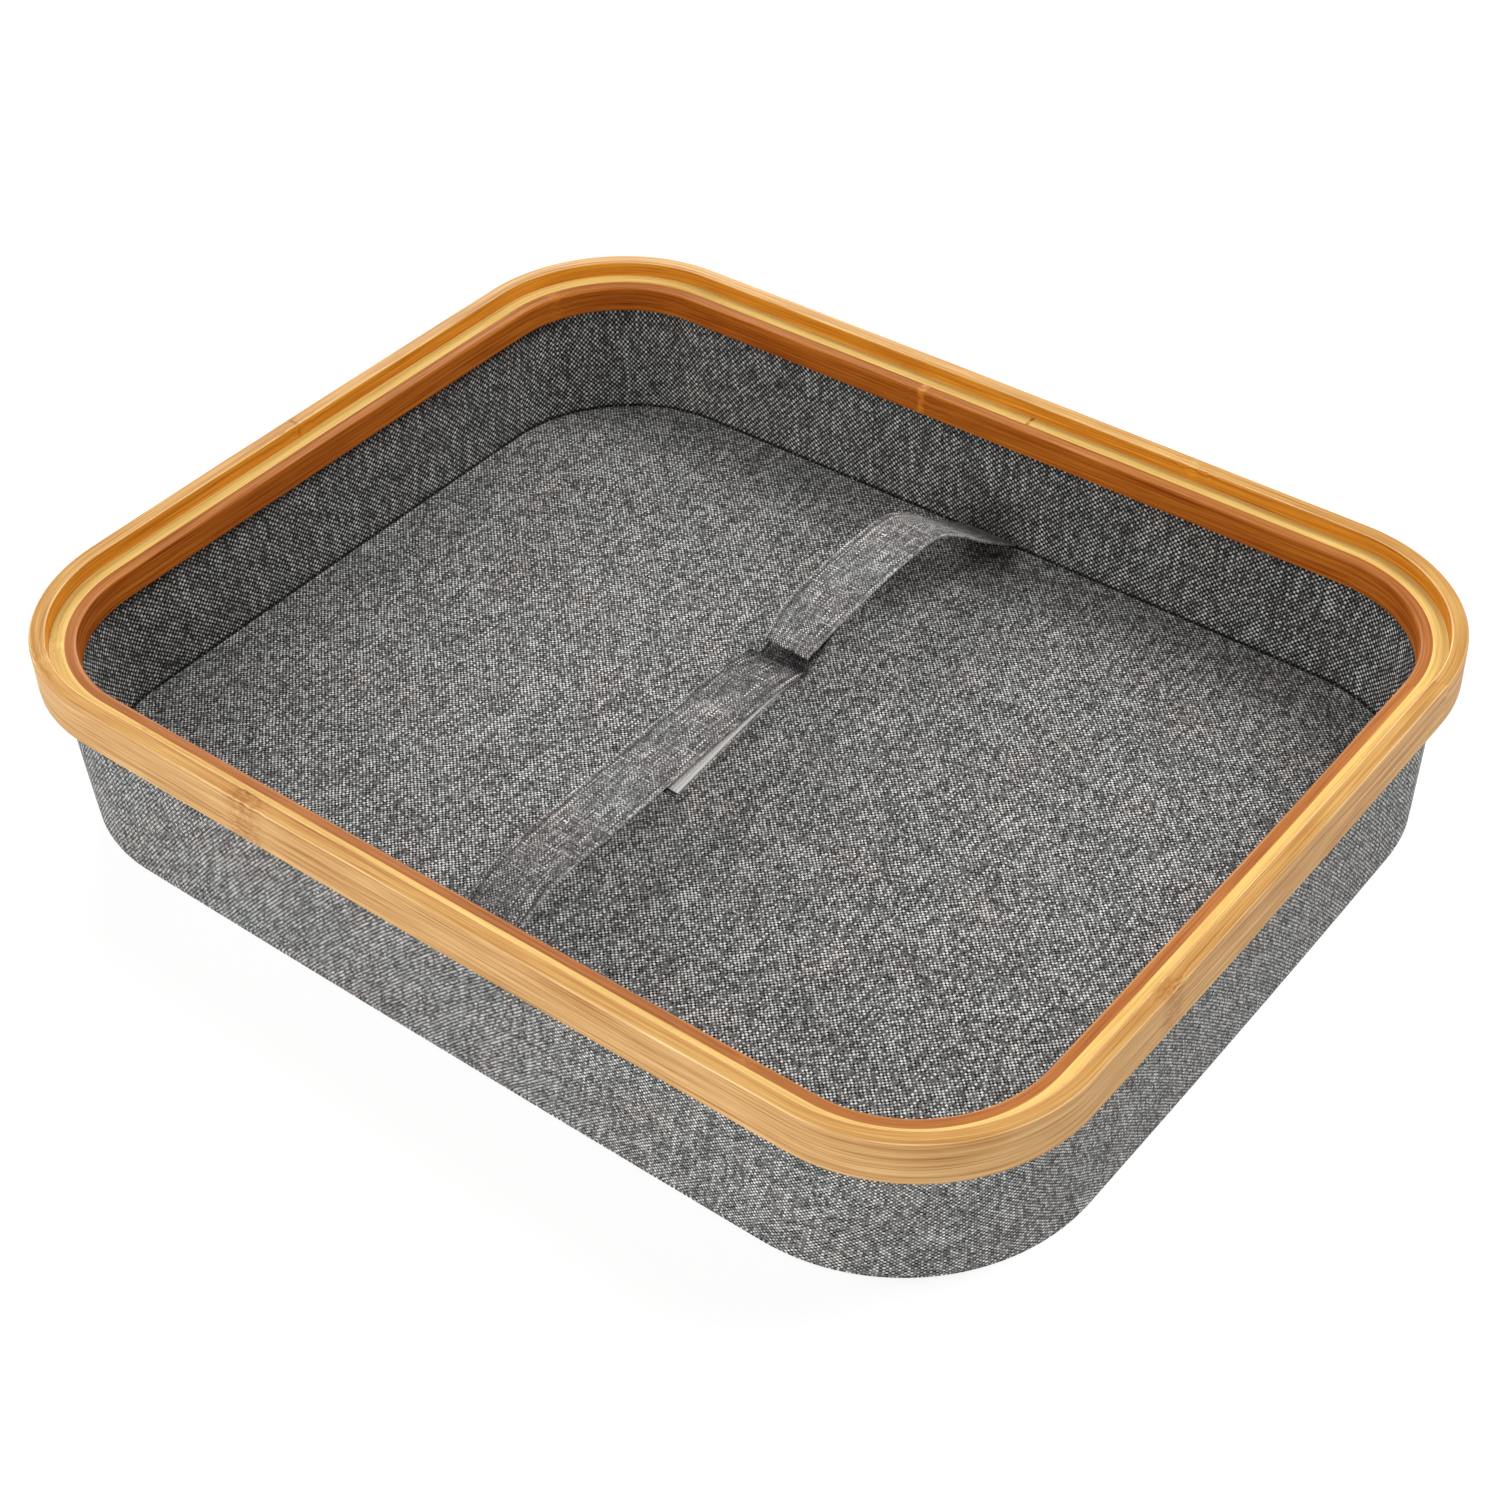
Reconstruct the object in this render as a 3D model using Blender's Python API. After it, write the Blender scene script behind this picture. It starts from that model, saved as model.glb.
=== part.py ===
"""Storage tray of a lap desk.

A rim of three bent bamboo plies carries the lid on a ledge. Walls of covered board hang in a groove
under the rim, a padded panel makes the floor, and a fabric strap in two halves, closed with
hook-and-loop tape, holds a laptop on that floor. The tray rests on z = 0, with +X along its length.
"""

import math

import bmesh
import bpy

# Overall size, outside the rim
LENGTH = 0.400
DEPTH = 0.321
HEIGHT = 0.072
CORNER_RADIUS = 0.060
# A bent hoop springs outward a little in the middle of each side
SIDE_BOW = 0.0005

# Clearance between neighbouring pieces
FIT_GAP = 0.0003

# Rim
RIM_HEIGHT = 0.016
OUTER_PLY = 0.0054
MIDDLE_PLY = 0.0047
INNER_PLY = 0.0040
LID_STEP = 0.0056
GROOVE_DEPTH = 0.0060
LIP_ROUND = 0.0009
LEDGE_ROUND = 0.0013
PLY_ARRIS = 0.0004

# Walls
FABRIC = 0.0008
WALL_BOARD = 0.0014
COVER_TURN_IN = 0.016
LINING_TURN_IN = 0.010
# The wall draws in towards its foot only at the corners, where the outline is rounder, and most at
# the right front corner, which the maker's cloth has pulled further in
FOOT_CORNER_RADIUS = 0.067
FRONT_RIGHT_FOOT_CORNER_RADIUS = 0.075
FOOT_ROUND = 0.0006

# Floor, from the ground up
BASE_BOARD = 0.0030
FLOOR_BOARD = 0.0018
FLOOR_FOAM = 0.0020
FLOOR_ROUND = 0.0006

# Strap halves: their widths, and the height of each half's bow over the floor
STRAP_WIDTH = 0.023
STRAP_THICKNESS = 0.0012
STRAP_SHIFT = 0.002
REAR_BOW = 0.0353
FRONT_BOW = 0.0270
# The rear half's squared end lies this far behind the middle of the tray
LIP_PLACE = 0.0215
TIP_GAP = 0.0008
TONGUE_REACH = 0.0715
TONGUE_WIDTH = 0.022
TONGUE_RISE_RUN = 0.030
TONGUE_SEWN_RUN = 0.014
TONGUE_SAG = 0.0014
TONGUE_SAG_RUN = 0.050
# The tongue leans to the right by this much for each unit of its length
TONGUE_LEAN_SHARE = 0.05
TAPE_WIDTH = 0.020
HOOK_THICKNESS = 0.0007
LOOP_THICKNESS = 0.0008
HOOK_START = 0.0045
HOOK_LENGTH = 0.0565
LOOP_START = 0.0010
LOOP_END_MARGIN = 0.0010

# Bows of the strap halves, from the root at the foot of the wall: shares of the reach, of the bow
REAR_BOW_SHARES = (
    (0.0, 0.0), (0.09, 0.22), (0.175, 0.43), (0.245, 0.63), (0.305, 0.79), (0.36, 0.91), (0.415, 0.975),
    (0.485, 1.0), (0.585, 1.0), (0.685, 0.985), (0.825, 0.93), (0.925, 0.87), (1.0, 0.825),
)
FRONT_BOW_SHARES = (
    (0.0, 0.0), (0.055, 0.225), (0.11, 0.46), (0.165, 0.69), (0.225, 0.85), (0.285, 0.92), (0.40, 0.955),
    (0.56, 0.97), (0.735, 0.985), (0.885, 1.0), (0.935, 0.985), (0.97, 0.95), (1.0, 0.91),
)

# Facets
CORNER_STEPS = 9
SIDE_STEPS = 4
ROUND_STEPS = 3
BOW_STEPS = 3
TONGUE_STEPS = 26

# Rim heights
rim_foot = HEIGHT - RIM_HEIGHT
ledge = HEIGHT - LID_STEP
groove_roof = rim_foot + GROOVE_DEPTH

# Insets from the rim's outline, from outside to inside
middle_inset = OUTER_PLY + FIT_GAP
inner_inset = middle_inset + MIDDLE_PLY + FIT_GAP
rim_width = inner_inset + INNER_PLY
lining_inset = inner_inset - FIT_GAP - FABRIC
wall_board_inset = lining_inset - FIT_GAP - WALL_BOARD
cover_inset = wall_board_inset - FIT_GAP - FABRIC
wall_face_inset = lining_inset + FABRIC
floor_inset = wall_face_inset + FIT_GAP
panel_inset = floor_inset + FABRIC + FIT_GAP

# Heights of the layers, from the ground up
cover_foot = FABRIC + FIT_GAP
base_foot = cover_foot + FABRIC + FIT_GAP
lining_foot = base_foot + BASE_BOARD + FIT_GAP
panel_foot = lining_foot + FABRIC + FIT_GAP
foam_foot = panel_foot + FLOOR_BOARD + FIT_GAP
floor_cover_foot = foam_foot + FLOOR_FOAM + FIT_GAP
floor_top = floor_cover_foot + FABRIC
wall_top = groove_roof - FIT_GAP

# Each strap half swings about the stitched fold at its root, in the corner of floor and wall
root_clearance = FIT_GAP + STRAP_THICKNESS / 2
root_height = floor_top + root_clearance
root_place = DEPTH / 2 - wall_face_inset - root_clearance
front_root = (0.0, -root_place, root_height)
rear_root = (0.0, root_place, root_height)
# Spacing of the layers where the halves overlap
hook_drop = STRAP_THICKNESS / 2 + FIT_GAP + HOOK_THICKNESS / 2
tongue_drop = STRAP_THICKNESS + 3 * FIT_GAP + HOOK_THICKNESS + LOOP_THICKNESS
loop_lift = STRAP_THICKNESS / 2 + FIT_GAP + LOOP_THICKNESS / 2
ply_drop = STRAP_THICKNESS + FIT_GAP


def linear(value):
    """One sRGB channel, 0 to 255, as linear light."""
    share = value / 255
    return share / 12.92 if share <= 0.04045 else ((share + 0.055) / 1.055) ** 2.4


def material(name, rgb, roughness):
    made = bpy.data.materials.new(name)
    made.use_nodes = True
    shader = made.node_tree.nodes["Principled BSDF"]
    shader.inputs["Base Color"].default_value = (*(linear(value) for value in rgb), 1.0)
    shader.inputs["Roughness"].default_value = roughness
    shader.inputs["Metallic"].default_value = 0.0
    return made


def finish(name, shape, look, origin=(0.0, 0.0, 0.0)):
    """Turns a bmesh in tray coordinates into an object whose origin is the given point."""
    bmesh.ops.recalc_face_normals(shape, faces=shape.faces)
    bmesh.ops.translate(shape, verts=shape.verts, vec=[-place for place in origin])
    mesh = bpy.data.meshes.new(name)
    shape.to_mesh(mesh)
    shape.free()
    mesh.materials.append(look)
    mesh.shade_smooth()
    mesh.set_sharp_from_angle(angle=math.radians(35))
    made = bpy.data.objects.new(name, mesh)
    made.location = origin
    bpy.context.scene.collection.objects.link(made)
    return made


def corner_at(quarter, height):
    """Centre and radius of one corner of the outline at one height.

    Below the rim each corner opens from the rim's radius to its own radius at the foot.
    """
    along, across, foot_radius = (
        (1, 1, FOOT_CORNER_RADIUS),
        (-1, 1, FOOT_CORNER_RADIUS),
        (-1, -1, FOOT_CORNER_RADIUS),
        (1, -1, FRONT_RIGHT_FOOT_CORNER_RADIUS),
    )[quarter % 4]
    drop = min(max((rim_foot - height) / rim_foot, 0.0), 1.0)
    radius = CORNER_RADIUS + (foot_radius - CORNER_RADIUS) * drop
    return along * (LENGTH / 2 - SIDE_BOW - radius), across * (DEPTH / 2 - SIDE_BOW - radius), radius


def outline(inset, height):
    """Points of the tray's rounded outline, drawn in by an inset, at one height. Each side bows outward."""
    points = []
    for quarter in range(4):
        x, y, radius = corner_at(quarter, height)
        for step in range(CORNER_STEPS + 1):
            angle = math.pi / 2 * (quarter + step / CORNER_STEPS)
            points.append((x + (radius - inset) * math.cos(angle), y + (radius - inset) * math.sin(angle), height))
        # The side that follows this corner ends where the next corner starts
        start_x, start_y, _ = points[-1]
        next_x, next_y, next_radius = corner_at(quarter + 1, height)
        out_x, out_y = math.cos(angle), math.sin(angle)
        run_x = next_x + (next_radius - inset) * out_x - start_x
        run_y = next_y + (next_radius - inset) * out_y - start_y
        for step in range(1, SIDE_STEPS):
            share = step / SIDE_STEPS
            bow = SIDE_BOW * (1 - (2 * share - 1) ** 2)
            points.append((start_x + run_x * share + bow * out_x, start_y + run_y * share + bow * out_y, height))
    return points


def skin(shape, section, ends_meet):
    """Joins the tray's outline at each (inset, height) of a section to the next one with quads."""
    loops = [[shape.verts.new(point) for point in outline(*place)] for place in section]
    pairs = list(zip(loops, loops[1:]))
    if ends_meet:
        pairs.append((loops[-1], loops[0]))
    for lower, upper in pairs:
        for i in range(len(lower)):
            shape.faces.new((lower[i - 1], lower[i], upper[i], upper[i - 1]))
    return loops


def swept_ring(section):
    """A ring of one closed section all round the tray."""
    shape = bmesh.new()
    skin(shape, section, True)
    return shape


def capped(section):
    """A solid whose section starts and ends on flat faces that fill the tray's outline."""
    shape = bmesh.new()
    loops = skin(shape, section, False)
    shape.faces.new(loops[0])
    shape.faces.new(loops[-1])
    return shape


def rounded(section):
    """A section with its corners rounded: items are (inset, height, radius), in order round it."""
    points = []
    for i, (inset, height, radius) in enumerate(section):
        if not radius:
            points.append((inset, height))
            continue
        before = section[i - 1]
        after = section[(i + 1) % len(section)]
        ends = []
        for other in (before, after):
            reach = math.hypot(other[0] - inset, other[1] - height)
            ends.append(((other[0] - inset) / reach, (other[1] - height) / reach))
        # All corners here are square, so the arc runs from one side to the other about its centre
        for step in range(ROUND_STEPS + 1):
            angle = math.pi / 2 * step / ROUND_STEPS
            back = radius * (1 - math.sin(angle))
            ahead = radius * (1 - math.cos(angle))
            points.append((inset + ends[0][0] * back + ends[1][0] * ahead,
                           height + ends[0][1] * back + ends[1][1] * ahead))
    return points


def sheet(inset, foot, top):
    """A flat sheet that fills the outline."""
    return capped([(inset, foot), (inset, top)])


def wrapped_sheet(inset, foot, top, thickness, round_top):
    """A skin over a panel: flat on top, with its rounded edge turned down all round."""
    section = [(inset + thickness, top - thickness), (inset + thickness, foot), (inset, foot)]
    for step in range(ROUND_STEPS + 1):
        angle = math.pi / 2 * step / ROUND_STEPS
        section.append((inset + round_top * (1 - math.cos(angle)), top - round_top * (1 - math.sin(angle))))
    return capped(section)


def smooth_through(points, steps):
    """A Catmull-Rom curve through (run, rise) points."""
    padded = [points[0], *points, points[-1]]
    curve = []
    for i in range(1, len(padded) - 2):
        p0, p1, p2, p3 = padded[i - 1:i + 3]
        for step in range(steps):
            t = step / steps
            curve.append(tuple(
                0.5 * (2 * b + (c - a) * t + (2 * a - 5 * b + 4 * c - d) * t ** 2 + (3 * b - a - 3 * c + d) * t ** 3)
                for a, b, c, d in zip(p0, p1, p2, p3)))
    curve.append(points[-1])
    return curve


def height_at(curve, place):
    """The curve's height where it passes one place along the depth; both run the same way."""
    ordered = sorted(curve)
    for (y0, z0), (y1, z1) in zip(ordered, ordered[1:]):
        if y0 <= place <= y1 and y1 > y0:
            return z0 + (z1 - z0) * (place - y0) / (y1 - y0)
    return ordered[0][1] if place < ordered[0][0] else ordered[-1][1]


def lean(place):
    """How far the tongue stands to the right of the strap's line."""
    return TONGUE_LEAN_SHARE * (LIP_PLACE - place)


def strip(name, path, width, thickness, look, origin, centre=lambda place: 0.0):
    """A flat band along a (place, height) path, given its thickness by a Solidify modifier."""
    shape = bmesh.new()
    edges = []
    for place, height in path:
        middle = centre(place) - STRAP_SHIFT
        left = shape.verts.new((middle - width / 2, place, height))
        right = shape.verts.new((middle + width / 2, place, height))
        edges.append((left, right))
    for (left, right), (next_left, next_right) in zip(edges, edges[1:]):
        shape.faces.new((left, right, next_right, next_left))
    made = finish(name, shape, look, origin)
    solid = made.modifiers.new("thickness", "SOLIDIFY")
    solid.thickness = thickness
    solid.offset = 0.0
    solid.use_even_offset = True
    return made


def part_of(path, first, last, extra):
    """The stretch of a path between two places, raised by an extra height, with exact ends."""
    inside = [(place, height + extra) for place, height in path if first < place < last]
    return [(first, height_at(path, first) + extra), *sorted(inside), (last, height_at(path, last) + extra)]


def build_rim(bamboo_outer, bamboo_middle, bamboo_inner):
    outer = rounded([
        (0.0, rim_foot, LIP_ROUND),
        (OUTER_PLY, rim_foot, PLY_ARRIS),
        (OUTER_PLY, HEIGHT, LIP_ROUND),
        (0.0, HEIGHT, LIP_ROUND),
    ])
    finish("rim_outer_hoop", swept_ring(outer), bamboo_outer)
    middle_edge = middle_inset + MIDDLE_PLY
    middle = [(middle_inset, groove_roof), (middle_edge, groove_roof), (middle_edge, ledge), (middle_inset, ledge)]
    finish("rim_middle_hoop", swept_ring(middle), bamboo_middle)
    inner = rounded([
        (inner_inset, rim_foot, PLY_ARRIS),
        (rim_width, rim_foot, LIP_ROUND),
        (rim_width, ledge, LEDGE_ROUND),
        (inner_inset, ledge, 0.0),
    ])
    finish("rim_inner_hoop", swept_ring(inner), bamboo_inner)


def build_walls(fabric, lining, board):
    # The walls change course at the rim's foot: they stand upright in its groove and open below it
    core_edge = wall_board_inset + WALL_BOARD
    core = [
        (wall_board_inset, base_foot), (core_edge, base_foot), (core_edge, rim_foot),
        (core_edge, wall_top), (wall_board_inset, wall_top), (wall_board_inset, rim_foot),
    ]
    finish("wall_board", swept_ring(core), board)
    # Each skin is an L in section: it stands on the wall and turns in below
    for name, inset, foot, turn_in, look, foot_round in (
        ("wall_cover", cover_inset, cover_foot, COVER_TURN_IN, fabric, FOOT_ROUND),
        ("wall_lining", lining_inset, lining_foot, LINING_TURN_IN, lining, 0.0),
    ):
        section = rounded([
            (inset, foot, foot_round),
            (inset + turn_in, foot, 0.0),
            (inset + turn_in, foot + FABRIC, 0.0),
            (inset + FABRIC, foot + FABRIC, 0.0),
            (inset + FABRIC, rim_foot, 0.0),
            (inset + FABRIC, wall_top, 0.0),
            (inset, wall_top, 0.0),
            (inset, rim_foot, 0.0),
        ])
        finish(name, swept_ring(section), look)


def build_floor(fabric, lining, board, foam):
    finish("base_cover", sheet(cover_inset + FIT_GAP, 0.0, FABRIC), fabric)
    finish("base_board", sheet(lining_inset, base_foot, base_foot + BASE_BOARD), board)
    finish("floor_board", sheet(panel_inset, panel_foot, panel_foot + FLOOR_BOARD), board)
    finish("floor_foam", sheet(panel_inset, foam_foot, foam_foot + FLOOR_FOAM), foam)
    finish("floor_cover", wrapped_sheet(floor_inset, panel_foot, floor_top, FABRIC, FLOOR_ROUND), lining)


def build_strap(fabric, tape):
    rear_reach = root_place - LIP_PLACE
    front_reach = root_place + LIP_PLACE - TIP_GAP
    rear_bow = [(root_place - run * rear_reach, root_height + rise * REAR_BOW) for run, rise in REAR_BOW_SHARES]
    front_bow = [(run * front_reach - root_place, root_height + rise * FRONT_BOW) for run, rise in FRONT_BOW_SHARES]
    rear = smooth_through(rear_bow, BOW_STEPS)
    front = smooth_through(front_bow, BOW_STEPS)
    strip("strap_front_band", front, STRAP_WIDTH, STRAP_THICKNESS, fabric, front_root)
    strip("strap_rear_band", rear, STRAP_WIDTH, STRAP_THICKNESS, fabric, rear_root)

    # The tongue lies under the front half, then rises to run along the rear half's underside
    tongue_end = LIP_PLACE - TONGUE_REACH
    rise_end = LIP_PLACE + TONGUE_RISE_RUN
    sewn_end = rise_end + TONGUE_SEWN_RUN
    tongue = []
    for step in range(TONGUE_STEPS + 1):
        place = tongue_end + (sewn_end - tongue_end) * step / TONGUE_STEPS
        sagging = min(max((tongue_end + TONGUE_SAG_RUN - place) / TONGUE_SAG_RUN, 0.0), 1.0)
        low = height_at(front, place) - tongue_drop - TONGUE_SAG * sagging ** 2
        risen = min(max((place - LIP_PLACE) / TONGUE_RISE_RUN, 0.0), 1.0)
        risen = risen ** 2 * (3 - 2 * risen)
        high = height_at(rear, place) - ply_drop
        tongue.append((place, low + (high - low) * risen if risen else low))
    strip("strap_rear_tongue", tongue, TONGUE_WIDTH, STRAP_THICKNESS, fabric, rear_root, lean)

    hook_end = LIP_PLACE - HOOK_START
    hook = part_of(front, hook_end - HOOK_LENGTH, hook_end, -hook_drop)
    strip("hook_tape", hook, TAPE_WIDTH, HOOK_THICKNESS, tape, front_root)
    loop = part_of(tongue, tongue_end + LOOP_END_MARGIN, LIP_PLACE - LOOP_START, loop_lift)
    strip("loop_tape", loop, TAPE_WIDTH, LOOP_THICKNESS, tape, rear_root, lean)


def main():
    for old in list(bpy.data.objects):
        bpy.data.objects.remove(old)
    fabric = material("linen look fabric", (122, 122, 121), 0.95)
    lining = material("linen look lining", (104, 104, 104), 0.95)
    board = material("grey fibreboard", (138, 132, 122), 0.85)
    foam = material("white foam sheet", (225, 224, 220), 0.9)
    build_rim(
        material("bamboo outer ply", (218, 170, 112), 0.45),
        material("bamboo middle ply", (232, 188, 116), 0.45),
        material("bamboo inner ply", (198, 132, 78), 0.45),
    )
    build_walls(fabric, lining, board)
    build_floor(fabric, lining, board, foam)
    build_strap(fabric, material("white hook and loop tape", (222, 219, 212), 0.8))


main()
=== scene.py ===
# %% [markdown]
# # The storage tray of a lap desk
# A rim of three bent bamboo plies holds up walls of covered board. The walls stand round a padded
# floor, and a fabric strap in two halves, closed with hook-and-loop tape, holds a laptop down.
# This file dresses the fixed CAD frame: it rebuilds every fabric and bamboo piece with finer form
# and gives each one a procedural material. Lengths are in metres, with +Z up.

import math
import random

import bmesh
import bpy
import numpy as np
from mathutils import Euler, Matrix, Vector, noise


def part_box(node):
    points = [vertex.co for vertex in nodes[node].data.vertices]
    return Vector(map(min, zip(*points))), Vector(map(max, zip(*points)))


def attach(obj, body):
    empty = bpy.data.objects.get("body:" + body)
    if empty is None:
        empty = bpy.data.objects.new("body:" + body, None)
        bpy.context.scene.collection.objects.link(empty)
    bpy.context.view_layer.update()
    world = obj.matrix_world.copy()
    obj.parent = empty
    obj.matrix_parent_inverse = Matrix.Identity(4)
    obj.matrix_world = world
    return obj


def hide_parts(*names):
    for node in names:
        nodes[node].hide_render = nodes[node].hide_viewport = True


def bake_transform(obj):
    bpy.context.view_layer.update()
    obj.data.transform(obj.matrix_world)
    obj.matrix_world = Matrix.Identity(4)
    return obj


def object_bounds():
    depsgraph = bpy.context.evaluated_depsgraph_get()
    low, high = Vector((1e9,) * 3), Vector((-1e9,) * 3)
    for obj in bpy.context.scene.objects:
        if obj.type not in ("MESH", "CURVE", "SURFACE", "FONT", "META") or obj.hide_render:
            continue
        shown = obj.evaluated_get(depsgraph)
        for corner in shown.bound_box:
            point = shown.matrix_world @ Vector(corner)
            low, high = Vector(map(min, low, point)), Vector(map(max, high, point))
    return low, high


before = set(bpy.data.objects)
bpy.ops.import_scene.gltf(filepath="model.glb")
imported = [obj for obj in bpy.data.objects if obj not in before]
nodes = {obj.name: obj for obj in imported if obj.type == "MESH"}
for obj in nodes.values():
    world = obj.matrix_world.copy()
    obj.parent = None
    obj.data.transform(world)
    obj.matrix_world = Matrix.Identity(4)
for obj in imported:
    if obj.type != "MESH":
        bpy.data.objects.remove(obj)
cad_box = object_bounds()
print("CAD box in mm:", [[round(c * 1000, 1) for c in corner] for corner in cad_box])

# %% [markdown]
# ## Camera
# The camera comes first, because every later choice is judged through it. Its place and lens were
# solved from the rim's outline: a rounded rectangle of known proportions seen in perspective.
# It looks down by 41 degrees from the front right corner, with a slight roll.

# %% Camera
scene = bpy.context.scene
scene.view_settings.view_transform = "Standard"
camera = bpy.data.objects.new("camera", bpy.data.cameras.new("camera"))
scene.collection.objects.link(camera)
camera.location = (0.43365, -0.52483, 0.60764)
camera.rotation_euler = Euler((0.852655, 0.027694, 0.664338), "XYZ")
camera.data.sensor_width = 36.0
camera.data.lens = 64.35
camera.data.clip_start = 0.01
scene.camera = camera
print("camera at", [round(c, 3) for c in camera.location], "lens", camera.data.lens)

# %% [markdown]
# ## Helpers for materials
# Colours are written as sRGB hex, as a colour picker shows them, and Blender shades in linear
# light, so one function converts them. One function adds a node with its settings and its links,
# and the part of it that feeds a node's inputs also serves the shader that each material ends in.
# That keeps each material a readable list of what feeds what.

# %% Colour and node helpers
def colour(code):
    """Linear RGBA of an sRGB hex code."""
    shares = [int(code[place:place + 2], 16) / 255 for place in (1, 3, 5)]
    return (*(s / 12.92 if s <= 0.04045 else ((s + 0.055) / 1.055) ** 2.4 for s in shares), 1.0)


def feed(tree, node, inputs):
    """Gives inputs, by name or number, a value or a link from a node or an output socket."""
    for key, value in inputs.items():
        if isinstance(value, bpy.types.Node):
            value = value.outputs[0]
        if isinstance(value, bpy.types.NodeSocket):
            tree.links.new(value, node.inputs[key])
        else:
            node.inputs[key].default_value = value


def add(tree, kind, inputs=None, stops=None, **settings):
    """Adds a node with its settings, its inputs and the stops of its colour ramp."""
    node = tree.nodes.new(kind)
    for name, value in settings.items():
        setattr(node, name, value)
    feed(tree, node, inputs or {})
    if stops:
        ramp = node.color_ramp
        while len(ramp.elements) < len(stops):
            ramp.elements.new(1.0)
        for element, (place, tone) in zip(ramp.elements, stops):
            element.position = place
            element.color = colour(tone) if isinstance(tone, str) else (tone, tone, tone, 1.0)
    return node


def new_material(name):
    """A material with only a Principled BSDF and its output."""
    made = bpy.data.materials.new(name)
    made.use_nodes = True
    return made, made.node_tree, made.node_tree.nodes["Principled BSDF"]


print("white is", colour("#FFFFFF"), "and mid grey", colour("#808080")[0])

# %% [markdown]
# ## Stage and light
# The object stands on a white floor among soft boxes, as catalogue pictures are taken.
# What the camera sees behind the object is plain white. The floor is part white light of its own
# and part white paint, so it stays white and still keeps a soft shadow under the tray. Four soft
# boxes stand round it: the strongest ones low at the back left and high at the back right, and
# two weaker ones in front, which light the outer walls.

# %% White tent
TENT_STRENGTH = 0.06
WHITE = "#FFFFFF"
world = bpy.data.worlds.new("white tent")
world.use_nodes = True
scene.world = world
tent = world.node_tree
path = add(tent, "ShaderNodeLightPath")
strength = add(tent, "ShaderNodeMapRange", {"Value": path.outputs["Is Camera Ray"], "To Min": TENT_STRENGTH,
                                            "To Max": 1.0})
feed(tent, tent.nodes["Background"], {"Strength": strength, "Color": colour(WHITE)})
print("tent strength", TENT_STRENGTH)

# %% Floor
FLOOR_HALF, FLOOR_BELOW = 3.0, 0.0002
FLOOR_GLOW, FLOOR_GLOW_SEEN, GLOW_STRENGTH = 0.27, 0.75, 1.12
floor_mesh = bpy.data.meshes.new("studio_floor")
floor_mesh.from_pydata([(x * FLOOR_HALF, y * FLOOR_HALF, -FLOOR_BELOW)
                        for x, y in ((-1, -1), (1, -1), (1, 1), (-1, 1))], [], [(0, 1, 2, 3)])
studio_floor = bpy.data.objects.new("studio_floor", floor_mesh)
scene.collection.objects.link(studio_floor)
# Matt paint scatters light evenly, so no lamp is mirrored in it
white, tree, shader = new_material("matt white floor paint")
feed(tree, shader, {"Base Color": colour("#F4F4F4"), "Roughness": 0.9})
path = add(tree, "ShaderNodeLightPath")
glow = add(tree, "ShaderNodeEmission", {"Color": colour(WHITE), "Strength": GLOW_STRENGTH})
share = add(tree, "ShaderNodeMapRange", {"Value": path.outputs["Is Camera Ray"], "To Min": FLOOR_GLOW,
                                         "To Max": FLOOR_GLOW_SEEN})
mixed = add(tree, "ShaderNodeMixShader", {0: share, 1: shader, 2: glow})
feed(tree, tree.nodes["Material Output"], {"Surface": mixed})
floor_mesh.materials.append(white)
print("floor is", 2 * FLOOR_HALF, "m wide")

# %% Soft boxes
AIM_HEIGHT = 0.04


def soft_box(name, turn, rise, watts, distance=2.0, size=0.9):
    """A square area lamp that faces the tray, at a turn from +X and a rise over the floor, in degrees."""
    lamp = bpy.data.lights.new(name, "AREA")
    lamp.shape = "SQUARE"
    lamp.size = size
    lamp.energy = watts
    made = bpy.data.objects.new(name, lamp)
    turn, rise = math.radians(turn), math.radians(rise)
    made.location = (distance * math.cos(rise) * math.cos(turn), distance * math.cos(rise) * math.sin(turn),
                     distance * math.sin(rise))
    made.rotation_euler = (Vector((0.0, 0.0, AIM_HEIGHT)) - made.location).to_track_quat("-Z", "Y").to_euler()
    scene.collection.objects.link(made)


soft_box("back_left_low", 135, 25, 28.5)
soft_box("back_right_high", 45, 55, 28.0)
soft_box("front_low", 275, 25, 15.5)
soft_box("front_left_high", 225, 55, 14.0)

# %% [markdown]
# ## The tray's outline
# Everything but the strap follows one line: a rectangle with round corners, whose sides spring
# outward by half a millimetre, as a bent hoop's do. A piece is this line drawn in by an inset at
# some height. Below the rim the corners open to a rounder foot, the right front one most. The
# distance along the line is kept as well, because grain and weave run along it.

# %% Outline
LENGTH, DEPTH, HEIGHT = (cad_box[1][i] - cad_box[0][i] for i in range(3))
CORNER_RADIUS, SIDE_BOW = 0.060, 0.0005
FOOT_CORNER_RADII = (0.067, 0.067, 0.067, 0.075)
RIM_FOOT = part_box("rim_outer_hoop")[0].z
CORNER_STEPS, SIDE_STEPS = 26, 26
CORNERS = ((1, 1), (-1, 1), (-1, -1), (1, -1))
COLUMNS = []
for quarter in range(4):
    COLUMNS += [(quarter, step / CORNER_STEPS, True) for step in range(CORNER_STEPS)]
    COLUMNS += [(quarter, step / SIDE_STEPS, False) for step in range(SIDE_STEPS)]


def corner_at(quarter, height):
    """Centre and radius of one corner of the outline at one height."""
    along, across = CORNERS[quarter % 4]
    drop = min(max((RIM_FOOT - height) / RIM_FOOT, 0.0), 1.0)
    radius = CORNER_RADIUS + (FOOT_CORNER_RADII[quarter % 4] - CORNER_RADIUS) * drop
    return along * (LENGTH / 2 - SIDE_BOW - radius), across * (DEPTH / 2 - SIDE_BOW - radius), radius


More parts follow.
